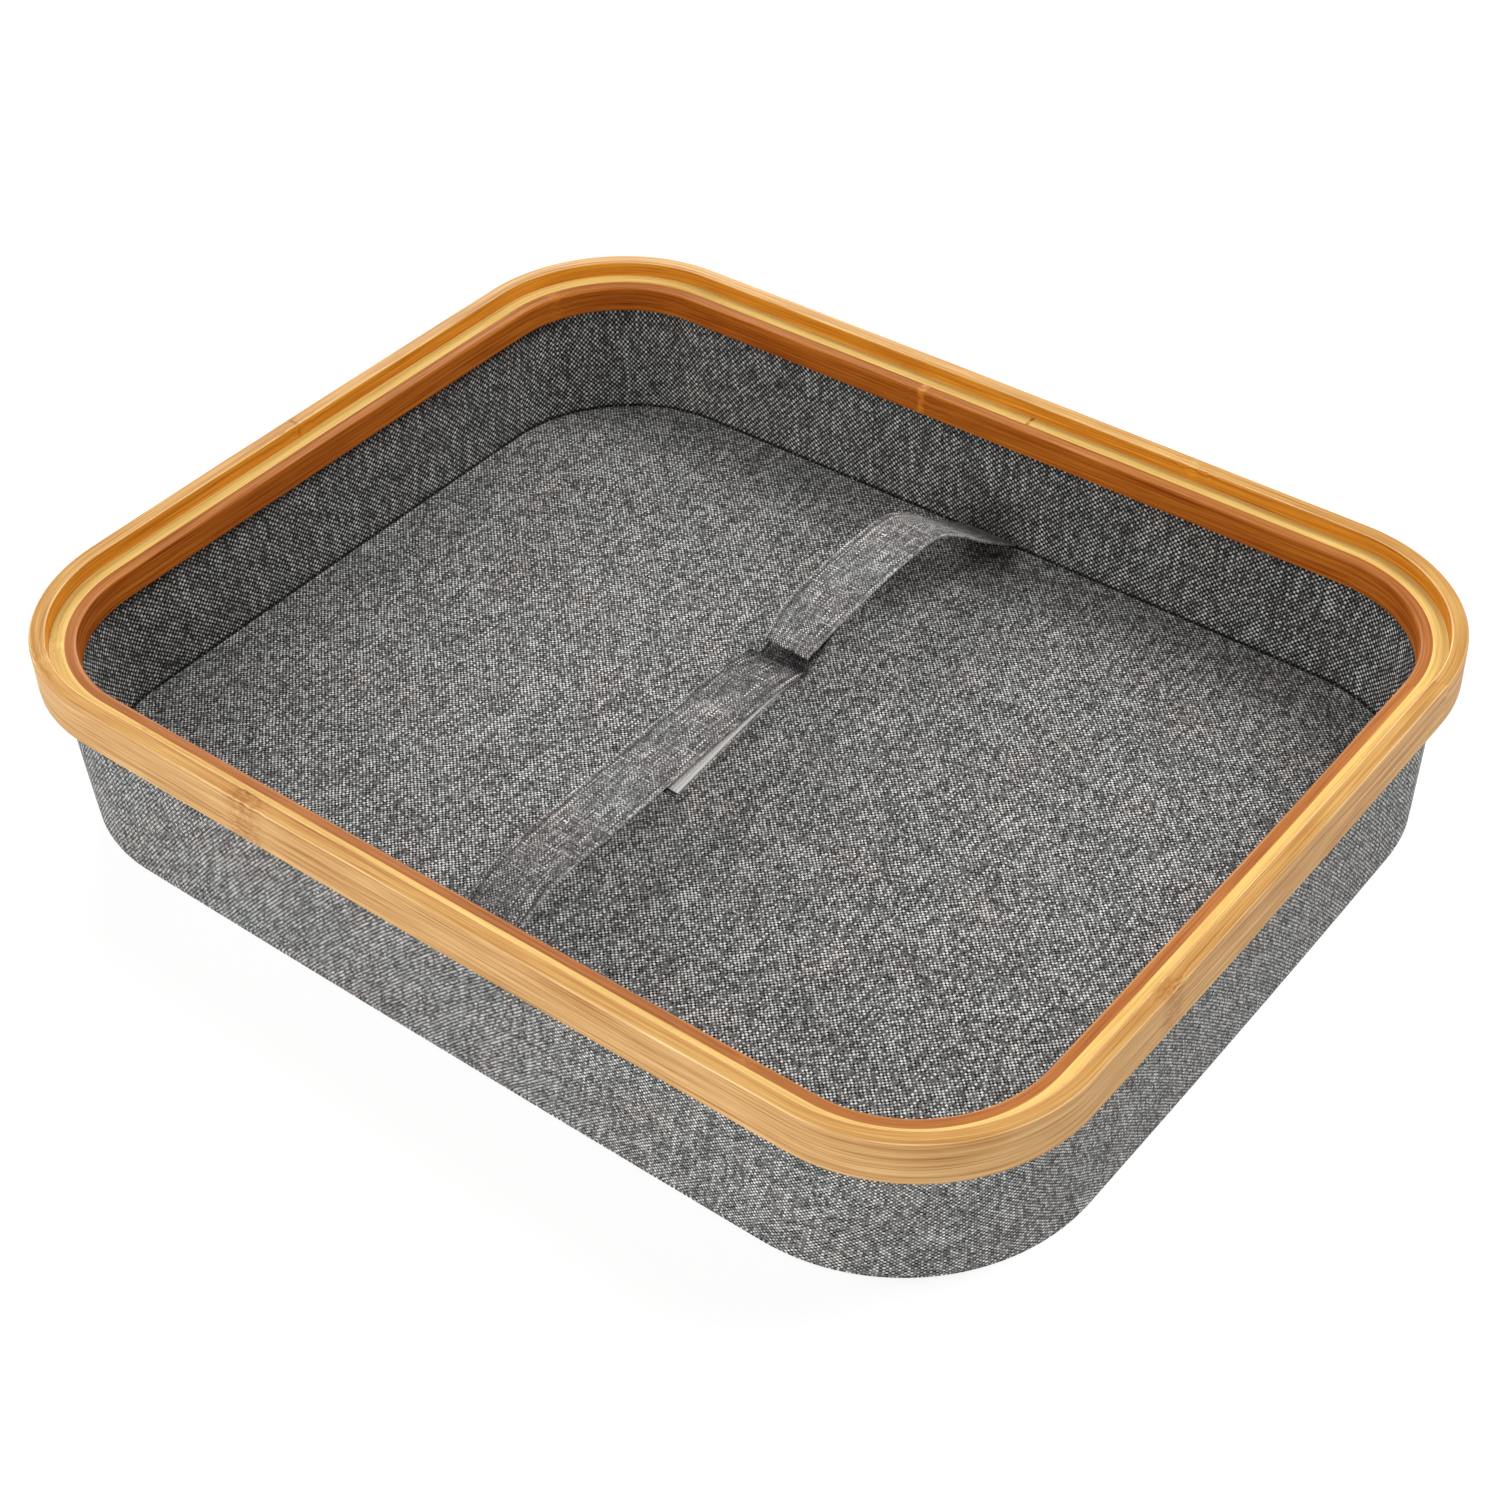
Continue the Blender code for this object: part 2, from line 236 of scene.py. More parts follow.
def outline(column, inset, height):
    """One point of the outline, drawn in by an inset, at a height."""
    quarter, share, in_corner = column
    x, y, radius = corner_at(quarter, height)
    angle = math.pi / 2 * (quarter + (share if in_corner else 1.0))
    x += (radius - inset) * math.cos(angle)
    y += (radius - inset) * math.sin(angle)
    if not in_corner:
        next_x, next_y, next_radius = corner_at(quarter + 1, height)
        bow = SIDE_BOW * (1 - (2 * share - 1) ** 2)
        x += (next_x + (next_radius - inset) * math.cos(angle) - x) * share + bow * math.cos(angle)
        y += (next_y + (next_radius - inset) * math.sin(angle) - y) * share + bow * math.sin(angle)
    return x, y, height


points = [Vector(outline(column, 0.0, HEIGHT)) for column in COLUMNS]
WAY = [0.0]
for here, ahead in zip(points, [*points[1:], points[0]]):
    WAY.append(WAY[-1] + (ahead - here).length)
print("the rim is", round(WAY[-1] * 1000), "mm round, in", len(COLUMNS), "columns")

# %% [markdown]
# ## From a section to a ring
# A hoop or a wall is one closed section carried round the outline. Its corners get real roundings,
# because a thin highlight on a rounded edge is what makes wood look like wood. The mesh has a UV
# map in metres: along the hoop, and round the section. It also stores how far each point of the
# section faces outward, upward or inward.

# %% Section and ring helpers
ROUND_STEPS = 6
# A stretch longer than SHORTEST_FILLED gets points, the first and last END_MARGIN from its ends, or
# END_SHARE of it where it is short. Edges sharper than SHARP_FROM degrees stay sharp
SHORTEST_FILLED, END_MARGIN, END_SHARE = 0.0008, 0.00025, 0.2
SHARP_FROM = 50


def rounded(corners):
    """A section with its square corners rounded: items are (inset, height, radius), in order round it."""
    made = []
    for i, (inset, height, radius) in enumerate(corners):
        here = Vector((inset, height))
        if not radius:
            made.append(here)
            continue
        back = (Vector(corners[i - 1][:2]) - here).normalized()
        ahead = (Vector(corners[(i + 1) % len(corners)][:2]) - here).normalized()
        for step in range(ROUND_STEPS + 1):
            angle = math.pi / 2 * step / ROUND_STEPS
            made.append(here + back * radius * (1 - math.sin(angle)) + ahead * radius * (1 - math.cos(angle)))
    return made


def filled(section, longest):
    """The section with points put into its long stretches, near their ends first, to shade flat faces flat."""
    made = []
    for here, ahead in zip(section, section[1:] + section[:1]):
        made.append(here)
        length = (ahead - here).length
        if length > SHORTEST_FILLED:
            margin = min(END_MARGIN / length, END_SHARE)
            inner = max(1, math.ceil(length / longest))
            made += [here.lerp(ahead, margin + (1 - 2 * margin) * step / inner) for step in range(inner + 1)]
    return made


def link(name, mesh, look):
    """Puts a finished mesh into the scene, smooth but for its sharp edges."""
    mesh.materials.append(look)
    mesh.shade_smooth()
    mesh.set_sharp_from_angle(angle=math.radians(SHARP_FROM))
    made = bpy.data.objects.new(name, mesh)
    scene.collection.objects.link(made)
    return made


def outward(mesh):
    """Turns a closed mesh's faces outward."""
    shape = bmesh.new()
    shape.from_mesh(mesh)
    bmesh.ops.recalc_face_normals(shape, faces=shape.faces)
    if shape.calc_volume(signed=True) < 0:
        bmesh.ops.reverse_faces(shape, faces=shape.faces)
    shape.to_mesh(mesh)
    shape.free()


def store(mesh, name, values):
    """Keeps one number for each point of a mesh, for its material to read."""
    mesh.attributes.new(name, "FLOAT", "POINT").data.foreach_set("value", np.array(values, np.float32))


def no_painted_light(inset, height):
    """No painted light or shade anywhere in a section."""
    return 0.0


def ring(name, section, look, ripple, painted_light_and_tone=no_painted_light):
    """A closed ring of a section round the tray. A ripple gives an extra inset for each place, and the last
    argument gives painted shade for each point of the section.
    """
    rows = len(section)
    turns = [0.0]
    for here, ahead in zip(section, section[1:] + section[:1]):
        turns.append(turns[-1] + (ahead - here).length)
    verts, faces, places = [], [], []
    for column in COLUMNS:
        for inset, height in section:
            extra = ripple(Vector(outline(column, inset, height)), height)
            verts.append(outline(column, inset + extra, height))
    for k in range(len(COLUMNS)):
        after = (k + 1) % len(COLUMNS)
        for m in range(rows):
            up = (m + 1) % rows
            faces.append((k * rows + m, after * rows + m, after * rows + up, k * rows + up))
            places += [(WAY[k], turns[m]), (WAY[k + 1], turns[m]), (WAY[k + 1], turns[m + 1]),
                       (WAY[k], turns[m + 1])]
    mesh = bpy.data.meshes.new(name)
    mesh.from_pydata(verts, [], faces)
    layer = mesh.uv_layers.new(name="Pattern")
    layer.data.foreach_set("uv", np.array(places, np.float32).ravel())
    facing = []
    for m in range(rows):
        line = (section[(m + 1) % rows] - section[m]).normalized() + (section[m] - section[m - 1]).normalized()
        facing.append(0.5 + 0.5 * line.normalized().y)
    store(mesh, "facing", facing * len(COLUMNS))
    store(mesh, "painted_light_and_tone", [painted_light_and_tone(inset, height) for inset, height in section] * len(COLUMNS))
    outward(mesh)
    return link(name, mesh, look)


print("a rounding has", ROUND_STEPS, "steps")

# %% [markdown]
# ## Bamboo
# Each ply is a thin strip of laminated bamboo, bent in steam and lacquered with a satin finish.
# Its long fibres show as fine lines along the hoop, with broader bands of tone. Every 20 to 30 cm
# a node crosses the strip, a few millimetres of paler or browner wood where the lines waver.
# The outward face, the edge and the inward face of a ply are cut through different wood, so each
# has its own tone. The roundings between them are painted paler, as a highlight. The pattern reads
# the UV map, so the lines follow the bend.

# %% Bamboo material
# The wood's usual shade, about which the two broad faces get their stronger contrast
MEAN_SHADE, DARKEST_SHADE = 0.80, 0.12
# How far from a node the lines waver, and by how much
WAVER_REACH, WAVER = 0.018, 0.0030
# (distance between lines, length of a line, share of the tone): fibres, bundles, growth bands, slow drift
GRAIN = ((0.00042, 0.030, 0.34), (0.0010, 0.070, 0.30), (0.0030, 0.150, 0.24), (0.0200, 0.045, 0.12))


def bamboo(name, outward_face, edge, inward_face, arris_highlight, places, seed, depth=0.75, bold=1.2):
    """Lacquered laminated bamboo. Places are (distance along the hoop, width, tone) of its nodes."""
    made, tree, shader = new_material(name)
    uv = add(tree, "ShaderNodeUVMap", uv_map="Pattern")
    part = add(tree, "ShaderNodeSeparateXYZ", {0: uv})
    along, across = part.outputs[0], part.outputs[1]
    mottle = add(tree, "ShaderNodeTexNoise", {"Vector": uv, "Scale": 420.0, "Detail": 2.0})
    mottle = add(tree, "ShaderNodeMapRange", {"Value": mottle, "From Min": 0.35, "From Max": 0.6,
                                              "To Min": 0.25, "To Max": 1.3})
    near, tint = 0.0, 0.0
    for place, width, tone in places:
        far = add(tree, "ShaderNodeMath", {0: along, 1: place}, operation="SUBTRACT")
        far = add(tree, "ShaderNodeMath", {0: far}, operation="ABSOLUTE")
        band = add(tree, "ShaderNodeMapRange", {"Value": far, "From Min": width * 0.2, "From Max": width * 0.7,
                                                "To Min": tone, "To Max": 0.0}, interpolation_type="SMOOTHSTEP")
        reach = add(tree, "ShaderNodeMapRange", {"Value": far, "From Min": 0.0, "From Max": WAVER_REACH,
                                                 "To Min": 1.0, "To Max": 0.0},
                    interpolation_type="SMOOTHSTEP")
        near = add(tree, "ShaderNodeMath", {0: reach, 1: near}, operation="MAXIMUM")
        tint = add(tree, "ShaderNodeMath", {0: band, 1: mottle, 2: tint}, operation="MULTIPLY_ADD")
    # The lines waver close to a node
    waver = add(tree, "ShaderNodeTexNoise", {"Vector": uv, "Scale": 260.0, "Detail": 1.0})
    waver = add(tree, "ShaderNodeMath", {0: waver, 1: 0.5}, operation="SUBTRACT")
    waver = add(tree, "ShaderNodeMath", {0: waver, 1: near}, operation="MULTIPLY")
    across = add(tree, "ShaderNodeMath", {0: waver, 1: WAVER, 2: across}, operation="MULTIPLY_ADD")
    grain = 0.0
    for number, (pitch, run, share) in enumerate(GRAIN):
        spot = add(tree, "ShaderNodeCombineXYZ", {
            0: add(tree, "ShaderNodeMath", {0: along, 1: 1 / run}, operation="MULTIPLY"),
            1: add(tree, "ShaderNodeMath", {0: across, 1: 1 / pitch}, operation="MULTIPLY"),
            2: float(seed + number)})
        lines = add(tree, "ShaderNodeTexNoise", {"Vector": spot, "Scale": 1.0, "Detail": 2.0, "Roughness": 0.6})
        lines = add(tree, "ShaderNodeMapRange", {"Value": lines, "From Min": 0.32, "From Max": 0.62,
                                                 "To Min": 0.0, "To Max": share})
        grain = add(tree, "ShaderNodeMath", {0: lines, 1: grain}, operation="ADD")
    shade = add(tree, "ShaderNodeMapRange", {"Value": grain, "To Min": 1.08 - depth,
                                             "To Max": 1.08 + depth * 0.25})
    # The two broad faces are cut along the bundles, so they show them more than the edge does
    facing = add(tree, "ShaderNodeAttribute", attribute_type="GEOMETRY", attribute_name="facing")
    broad = add(tree, "ShaderNodeMath", {0: facing.outputs["Fac"], 1: 0.5}, operation="SUBTRACT")
    broad = add(tree, "ShaderNodeMath", {0: broad}, operation="ABSOLUTE")
    contrast = add(tree, "ShaderNodeMapRange", {"Value": broad, "From Min": 0.1, "From Max": 0.45,
                                                "To Min": 1.0, "To Max": bold})
    shade = add(tree, "ShaderNodeMath", {0: shade, 1: MEAN_SHADE}, operation="SUBTRACT")
    shade = add(tree, "ShaderNodeMath", {0: shade, 1: contrast, 2: MEAN_SHADE}, operation="MULTIPLY_ADD")
    shade = add(tree, "ShaderNodeMath", {0: shade, 1: tint}, operation="ADD")
    shade = add(tree, "ShaderNodeMath", {0: shade, 1: DARKEST_SHADE}, operation="MAXIMUM")
    # The roundings between the faces get the paler arris colour, a painted highlight
    base = add(tree, "ShaderNodeValToRGB", {0: facing.outputs["Fac"]},
               stops=[(0.08, outward_face), (0.25, arris_highlight), (0.42, edge), (0.58, edge), (0.75, arris_highlight),
                      (0.92, inward_face)])
    # Darker fibres are also redder, so the shade is raised to a power for each channel
    split = add(tree, "ShaderNodeSeparateColor", {0: base.outputs[0]})
    channels = {}
    for number, power in enumerate((0.75, 1.2, 1.7)):
        toned = add(tree, "ShaderNodeMath", {0: shade, 1: power}, operation="POWER")
        channels[number] = add(tree, "ShaderNodeMath", {0: split.outputs[number], 1: toned}, operation="MULTIPLY")
    painted = add(tree, "ShaderNodeCombineColor", channels)
    rough = add(tree, "ShaderNodeMapRange", {"Value": grain, "To Min": 0.60, "To Max": 0.48})
    bump = add(tree, "ShaderNodeBump", {"Height": grain, "Strength": 0.25, "Distance": 0.0002})
    # The lacquer is satin and thin: it deepens the colour and gives only a faint, broad shine
    feed(tree, shader, {"Base Color": painted, "Roughness": rough, "Normal": bump, "IOR": 1.5,
                        "Specular IOR Level": 0.12, "Coat Weight": 0.03, "Coat Roughness": 0.25})
    return made


print("lines every", [pitch * 1000 for pitch, run, share in GRAIN], "mm")

# %% [markdown]
# ## Rim
# Three plies are glued face to face. The outer one stands highest and makes the lip that keeps the
# lid in place. The middle one makes the pale ledge that the lid lies on, and ends above the walls,
# which leaves the groove that they hang in. The plies nearly touch: a glue line is a twentieth of
# a millimetre, where the CAD keeps a clearance.

# %% Rim hoops
OUTER_PLY, MIDDLE_PLY, INNER_PLY, PLY_GAP = 0.0054, 0.0047, 0.0040, 0.0003
LEDGE, GROOVE_ROOF = 0.0664, 0.062
GLUE_SHARE = 0.42
# Roundings of an open edge, of a glued one, and of the inner ply's upper edge, which looks the roundest
OPEN_ROUND, GLUED_ROUND, INNER_EDGE_ROUND = 0.0009, 0.0004, 0.0013
HOOP_STATION, MIDDLE_STATION, SANDED = 0.0025, 0.002, 0.00005
lap = PLY_GAP * GLUE_SHARE
middle_inset = OUTER_PLY + PLY_GAP
inner_inset = middle_inset + MIDDLE_PLY + PLY_GAP
rim_width = inner_inset + INNER_PLY


def way_at(x, y):
    """Distance along the rim of the column nearest to a place."""
    far = [(point.x - x) ** 2 + (point.y - y) ** 2 for point in points]
    return WAY[far.index(min(far))]


bamboo_outer = bamboo(
    "laminated bamboo, outer ply, satin lacquer", "#DDAE72", "#CA9A57", "#E5982F", "#F6D29A",
    [(way_at(-0.0655, -0.1605), 0.014, -0.20), (way_at(0.200, -0.062), 0.010, -0.16),
     (way_at(-0.165, -0.150), 0.005, 0.10), (way_at(-0.200, -0.004), 0.0016, -0.22),
     (way_at(0.075, 0.160), 0.004, 0.08)], 3)
bamboo_middle = bamboo(
    "laminated bamboo, middle ply, satin lacquer", "#DEB86A", "#E1BF70", "#DEB86A", "#F0CC82",
    [(way_at(0.0097, 0.160), 0.0014, -0.40), (way_at(-0.120, -0.160), 0.004, -0.10),
     (way_at(-0.175, -0.140), 0.005, 0.10)], 11, depth=0.5)
bamboo_inner = bamboo(
    "laminated bamboo, inner ply, satin lacquer", "#B2763C", "#B07037", "#BA6419", "#BA7C45",
    [(way_at(-0.027, 0.160), 0.0032, 0.60), (way_at(0.120, -0.160), 0.006, 0.14),
     (way_at(-0.190, 0.120), 0.006, 0.16)], 23, bold=1.8)


def hand_sanded(spot, height):
    """A sanded hoop is true to a few hundredths of a millimetre."""
    return SANDED * noise.noise(spot * 40.0)


def dress_tray(rows):
    """Ties finished pieces to the tray's body and hides the CAD nodes they replace; each row's slot is unused."""
    for piece, node, slot in rows:
        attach(piece, "tray")
        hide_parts(node)
        print(piece.name, len(piece.data.polygons), "faces")


outer_section = rounded([(0.0, RIM_FOOT, OPEN_ROUND), (OUTER_PLY + lap, RIM_FOOT, GLUED_ROUND),
                         (OUTER_PLY + lap, HEIGHT, OPEN_ROUND), (0.0, HEIGHT, OPEN_ROUND)])
rim_outer = ring("bamboo_outer_hoop", filled(outer_section, HOOP_STATION), bamboo_outer, hand_sanded)
middle_section = rounded([(middle_inset - lap, GROOVE_ROOF, 0.0),
                          (middle_inset + MIDDLE_PLY + lap, GROOVE_ROOF, 0.0),
                          (middle_inset + MIDDLE_PLY + lap, LEDGE, 0.0), (middle_inset - lap, LEDGE, 0.0)])
rim_middle = ring("bamboo_middle_hoop", filled(middle_section, MIDDLE_STATION), bamboo_middle, hand_sanded)
inner_section = rounded([(inner_inset - lap, RIM_FOOT, GLUED_ROUND), (rim_width, RIM_FOOT, OPEN_ROUND),
                         (rim_width, LEDGE, INNER_EDGE_ROUND), (inner_inset - lap, LEDGE, 0.0)])
rim_inner = ring("bamboo_inner_hoop", filled(inner_section, HOOP_STATION), bamboo_inner, hand_sanded)
dress_tray(((rim_outer, "rim_outer_hoop", "bamboo_outer_ply"),
            (rim_middle, "rim_middle_hoop", "bamboo_middle_ply"),
            (rim_inner, "rim_inner_hoop", "bamboo_inner_ply")))

# %% [markdown]
# ## Linen-look cloth
# The cloth is a plain weave of polyester spun to look like linen. Dark and pale fibres are mixed in
# every thread, so each thread changes tone along its length, and thicker places, called slubs, show
# as pale dashes. By eye the real threads are finer than these, which are 0.8 mm apart: as coarse as
# they need to be to show at picture size. The material counts threads from the UV map: it finds
# which thread lies on top at each crossing, shades its rounded side and gives it a tone.

# %% Weave material
THREAD = 0.0008
WARP_TONE, WEFT_TONE = 0.74, 0.22
# How much the thread's spin and speckle, the painted shade in the gaps between threads and the mesh's painted
# light change the tone
SPUN, SPECKLE, GAP_SHADE, PAINTED_LIGHT_TONE = 0.54, 0.54, 0.36, 0.25
# About how many threads a slub comes after another, along one thread
SLUB_RUN = 22.0


def linen_look(name, dark, middle, pale, seed, thread=THREAD, tones=(WARP_TONE, WEFT_TONE),
               slubs=(0.26, 0.10), spun_share=SPUN, run_length=6.0, gap_shade=GAP_SHADE, speckles=SPECKLE):
    """Plain-woven mixed-tone cloth, from a UV map in metres. Pale warp lies over darker weft."""
    made, tree, shader = new_material(name)
    uv = add(tree, "ShaderNodeUVMap", uv_map="Pattern")
    count = add(tree, "ShaderNodeVectorMath", {0: uv, 1: (1 / thread, 1 / thread, 0.0)}, operation="MULTIPLY")
    # Threads wander slowly over some centimetres, and a little from crossing to crossing
    for scale, reach in ((16.0, 1.6), (230.0, 0.8)):
        sway = add(tree, "ShaderNodeTexNoise", {"Vector": uv, "Scale": scale, "Detail": 1.0})
        sway = add(tree, "ShaderNodeVectorMath", {0: sway.outputs["Color"], 1: (0.5, 0.5, 0.5)},
                   operation="SUBTRACT")
        count = add(tree, "ShaderNodeVectorMath", {0: sway, 1: (reach, reach, 0.0), 2: count},
                    operation="MULTIPLY_ADD")
    part = add(tree, "ShaderNodeSeparateXYZ", {0: count})
    whole = [add(tree, "ShaderNodeMath", {0: part.outputs[i]}, operation="FLOOR") for i in (0, 1)]
    rest = [add(tree, "ShaderNodeMath", {0: part.outputs[i]}, operation="FRACT") for i in (0, 1)]
    odd = add(tree, "ShaderNodeMath", {0: whole[0], 1: whole[1]}, operation="ADD")
    odd = add(tree, "ShaderNodeMath", {0: odd, 1: 2.0}, operation="FLOORED_MODULO")
    # Tone along each thread: the warp first, then the weft. Odd factors give each thread its own noise
    shown = []
    for one, other, shift, base, thick in ((0, 1, 0.0, tones[0], slubs[0]), (1, 0, 37.0, tones[1], slubs[1])):
        lane = add(tree, "ShaderNodeMath", {0: whole[one], 1: 1.37, 2: 0.31 + shift + seed},
                   operation="MULTIPLY_ADD")
        run = add(tree, "ShaderNodeMath", {0: part.outputs[other], 1: 1 / run_length}, operation="MULTIPLY")
        spot = add(tree, "ShaderNodeCombineXYZ", {0: lane, 1: run, 2: 0.0})
        spun = add(tree, "ShaderNodeTexNoise", {"Vector": spot, "Scale": 1.0, "Detail": 1.5, "Roughness": 0.6},
                   noise_dimensions="2D")
        tone = add(tree, "ShaderNodeMath", {0: spun, 1: spun_share, 2: base - spun_share / 2},
                   operation="MULTIPLY_ADD")
        lane = add(tree, "ShaderNodeMath", {0: whole[one], 1: 2.71, 2: 0.17 + shift + seed},
                   operation="MULTIPLY_ADD")
        run = add(tree, "ShaderNodeMath", {0: part.outputs[other], 1: 1 / SLUB_RUN}, operation="MULTIPLY")
        spot = add(tree, "ShaderNodeCombineXYZ", {0: lane, 1: run, 2: 0.0})
        lump = add(tree, "ShaderNodeTexNoise", {"Vector": spot, "Scale": 1.0, "Detail": 0.0},
                   noise_dimensions="2D")
        lump = add(tree, "ShaderNodeMapRange", {"Value": lump, "From Min": 0.64, "From Max": 0.80, "To Min": 0.0,
                                                "To Max": thick}, interpolation_type="SMOOTHSTEP")
        shown.append(add(tree, "ShaderNodeMath", {0: tone, 1: lump}, operation="ADD"))
    tone = add(tree, "ShaderNodeMix", {0: odd, 2: shown[0], 3: shown[1]}, data_type="FLOAT")
    cell = add(tree, "ShaderNodeCombineXYZ", {0: whole[0], 1: whole[1], 2: float(seed)})
    speckle = add(tree, "ShaderNodeTexWhiteNoise", {"Vector": cell}, noise_dimensions="3D")
    speckle = add(tree, "ShaderNodeMath", {0: speckle, 1: 0.5}, operation="SUBTRACT")
    tone = add(tree, "ShaderNodeMath", {0: speckle, 1: speckles, 2: tone}, operation="MULTIPLY_ADD")
    # The thread on top is round across and arched along
    swell = []
    for near, far in ((0, 1), (1, 0)):
        side = add(tree, "ShaderNodeMix", {0: odd, 2: rest[near], 3: rest[far]}, data_type="FLOAT")
        side = add(tree, "ShaderNodeMath", {0: side, 1: math.pi}, operation="MULTIPLY")
        swell.append(add(tree, "ShaderNodeMath", {0: side}, operation="SINE"))
    arch = add(tree, "ShaderNodeMath", {0: swell[1], 1: 0.5, 2: 0.5}, operation="MULTIPLY_ADD")
    height = add(tree, "ShaderNodeMath", {0: swell[0], 1: arch}, operation="MULTIPLY")
    # The gaps between threads are painted darker, as shade; the same height drives the bump
    shade = add(tree, "ShaderNodeMapRange", {"Value": height, "From Min": 0.0, "From Max": 0.8, "To Min": -gap_shade,
                                             "To Max": 0.0})
    tone = add(tree, "ShaderNodeMath", {0: tone, 1: shade}, operation="ADD")
    # Painted light from the mesh: a highlight on a folded edge, shade along a sewn line, in seams and under the
    # strap's lip, and a paler patch at the front half's tip
    painted_light_and_tone = add(tree, "ShaderNodeAttribute", attribute_type="GEOMETRY", attribute_name="painted_light_and_tone")
    tone = add(tree, "ShaderNodeMath", {0: painted_light_and_tone.outputs["Fac"], 1: PAINTED_LIGHT_TONE, 2: tone}, operation="MULTIPLY_ADD")
    painted = add(tree, "ShaderNodeValToRGB", {0: tone}, stops=[(0.0, dark), (0.5, middle), (1.0, pale)])
    # Dye takes a little unevenly, so patches a few centimetres wide are warmer or cooler
    patch = add(tree, "ShaderNodeTexNoise", {"Vector": uv, "Scale": 38.0, "Detail": 2.0})
    patch = add(tree, "ShaderNodeValToRGB", {0: patch}, stops=[(0.35, "#F8FCFB"), (0.65, "#FFFAF8")])
    painted = add(tree, "ShaderNodeMix", {0: 1.0, 6: painted.outputs[0], 7: patch.outputs[0]},
                  data_type="RGBA", blend_type="MULTIPLY")
    bump = add(tree, "ShaderNodeBump", {"Height": height, "Strength": 0.5, "Distance": 0.00025})
    # Loose fibre ends make the cloth matt, with a trace of sheen where it is seen along its face
    feed(tree, shader, {"Base Color": painted.outputs[2], "Normal": bump, "Roughness": 0.92,
                        "Specular IOR Level": 0.2, "Sheen Weight": 0.06, "Sheen Roughness": 0.5})
    return made


# The floor and the lining are the cover's cloth given darker colours: painted shade inside the tray
cloth_outside = linen_look("linen-look polyester, wall cover", "#0B0B0B", "#8A8A89", "#FAF9F7", 1.0)
# The lining stands furthest off, in shade. Its threads are drawn a third coarser again than the cover's
# and the floor's, so that they show in the picture: finer ones blur to a plain grey in the back left corner
cloth_wall = linen_look("linen-look polyester, wall lining", "#060606", "#585857", "#E6E5E3", 5.0,
                        thread=0.00106, tones=(0.80, 0.18), gap_shade=0.48, speckles=0.36)
cloth_inside = linen_look("linen-look polyester, floor", "#080808", "#6E6E6D", "#E8E7E5", 7.0)
cloth_strap = linen_look("linen-look polyester, strap", "#090808", "#727070", "#EAE8E6", 9.0,
                         thread=0.00064, tones=(0.64, 0.38), slubs=(0.36, 0.36), spun_share=0.95,
                         run_length=12.0, speckles=0.34)
print("cloth has", round(0.01 / THREAD), "threads to the centimetre")

# %% [markdown]
# ## Walls
# The outer cover is glued over a thin board and turned in under the foot, and the lining is glued
# inside it and turned in under the floor panel. Cloth over board is never quite true, so both get a
# ripple of a few tenths of a millimetre. The lining is looser in the back left corner.

# %% Wall cover and lining
CLOTH = 0.0008
COVER_INSET, COVER_FOOT, COVER_TURN_IN, COVER_FOOT_ROUND = 0.0068, 0.0011, 0.016, 0.0006
LINING_INSET, LINING_FOOT, LINING_TURN_IN = 0.0096, 0.0055, 0.010
WALL_TOP = 0.0617
# The lining is painted darker below SEAM_TOP, as shade where it dips behind the floor panel. COVER_WAVE and
# COVER_PUCKER are the cover's broad and fine ripples, LINING_WAVE the lining's, and the corner's is LOOSE_WAVE
# more
SEAM_TOP, SEAM_SHADE = 0.0121, -1.4
COVER_WAVE, COVER_PUCKER, LINING_WAVE, LOOSE_WAVE = 0.00022, 0.00008, 0.00025, 0.0009
FREE_FROM = 0.010
LOOSE_X, LOOSE_Y, LOOSE_REACH = -0.17, 0.13, 0.05
SKIN_STATION, SEAM_BELOW, SEAM_ABOVE = 0.006, 0.0002, 0.0003


def skin_section(inset, foot, turn_in, foot_round):
    """An L of cloth: it stands on the wall and turns in below."""
    corners = [(inset, foot, foot_round), (inset + turn_in, foot, 0.0), (inset + turn_in, foot + CLOTH, 0.0),
               (inset + CLOTH, foot + CLOTH, 0.0), (inset + CLOTH, SEAM_TOP - SEAM_BELOW, 0.0),
               (inset + CLOTH, SEAM_TOP + SEAM_ABOVE, 0.0), (inset + CLOTH, RIM_FOOT, 0.0),
               (inset + CLOTH, WALL_TOP, 0.0), (inset, WALL_TOP, 0.0), (inset, RIM_FOOT, 0.0)]
    return filled(rounded(corners), SKIN_STATION)


def cover_ripple(spot, height):
    """The cover stands off its board by a few tenths of a millimetre, most between foot and rim."""
    free = math.sin(math.pi * min(max(height / RIM_FOOT, 0.0), 1.0)) ** 0.5
    return -COVER_WAVE * free * (1 + noise.noise(spot * 16.0)) - COVER_PUCKER * noise.noise(spot * 60.0)


def lining_ripple(spot, height):
    """The lining leans in by up to 0.4 mm, and by up to 1.6 mm in the back left corner."""
    free = math.sin(math.pi * min(max((height - FREE_FROM) / (RIM_FOOT - FREE_FROM), 0.0), 1.0))
    loose = math.exp(-((spot.x - LOOSE_X) ** 2 + (spot.y - LOOSE_Y) ** 2) / LOOSE_REACH ** 2)
    return free * (LINING_WAVE + LOOSE_WAVE * loose) * (1 + noise.noise(spot * 24.0))


def seam_shade(inset, height):
    """Painted shade on the lining below the line where the floor panel meets it."""
    return SEAM_SHADE if height < SEAM_TOP else 0.0


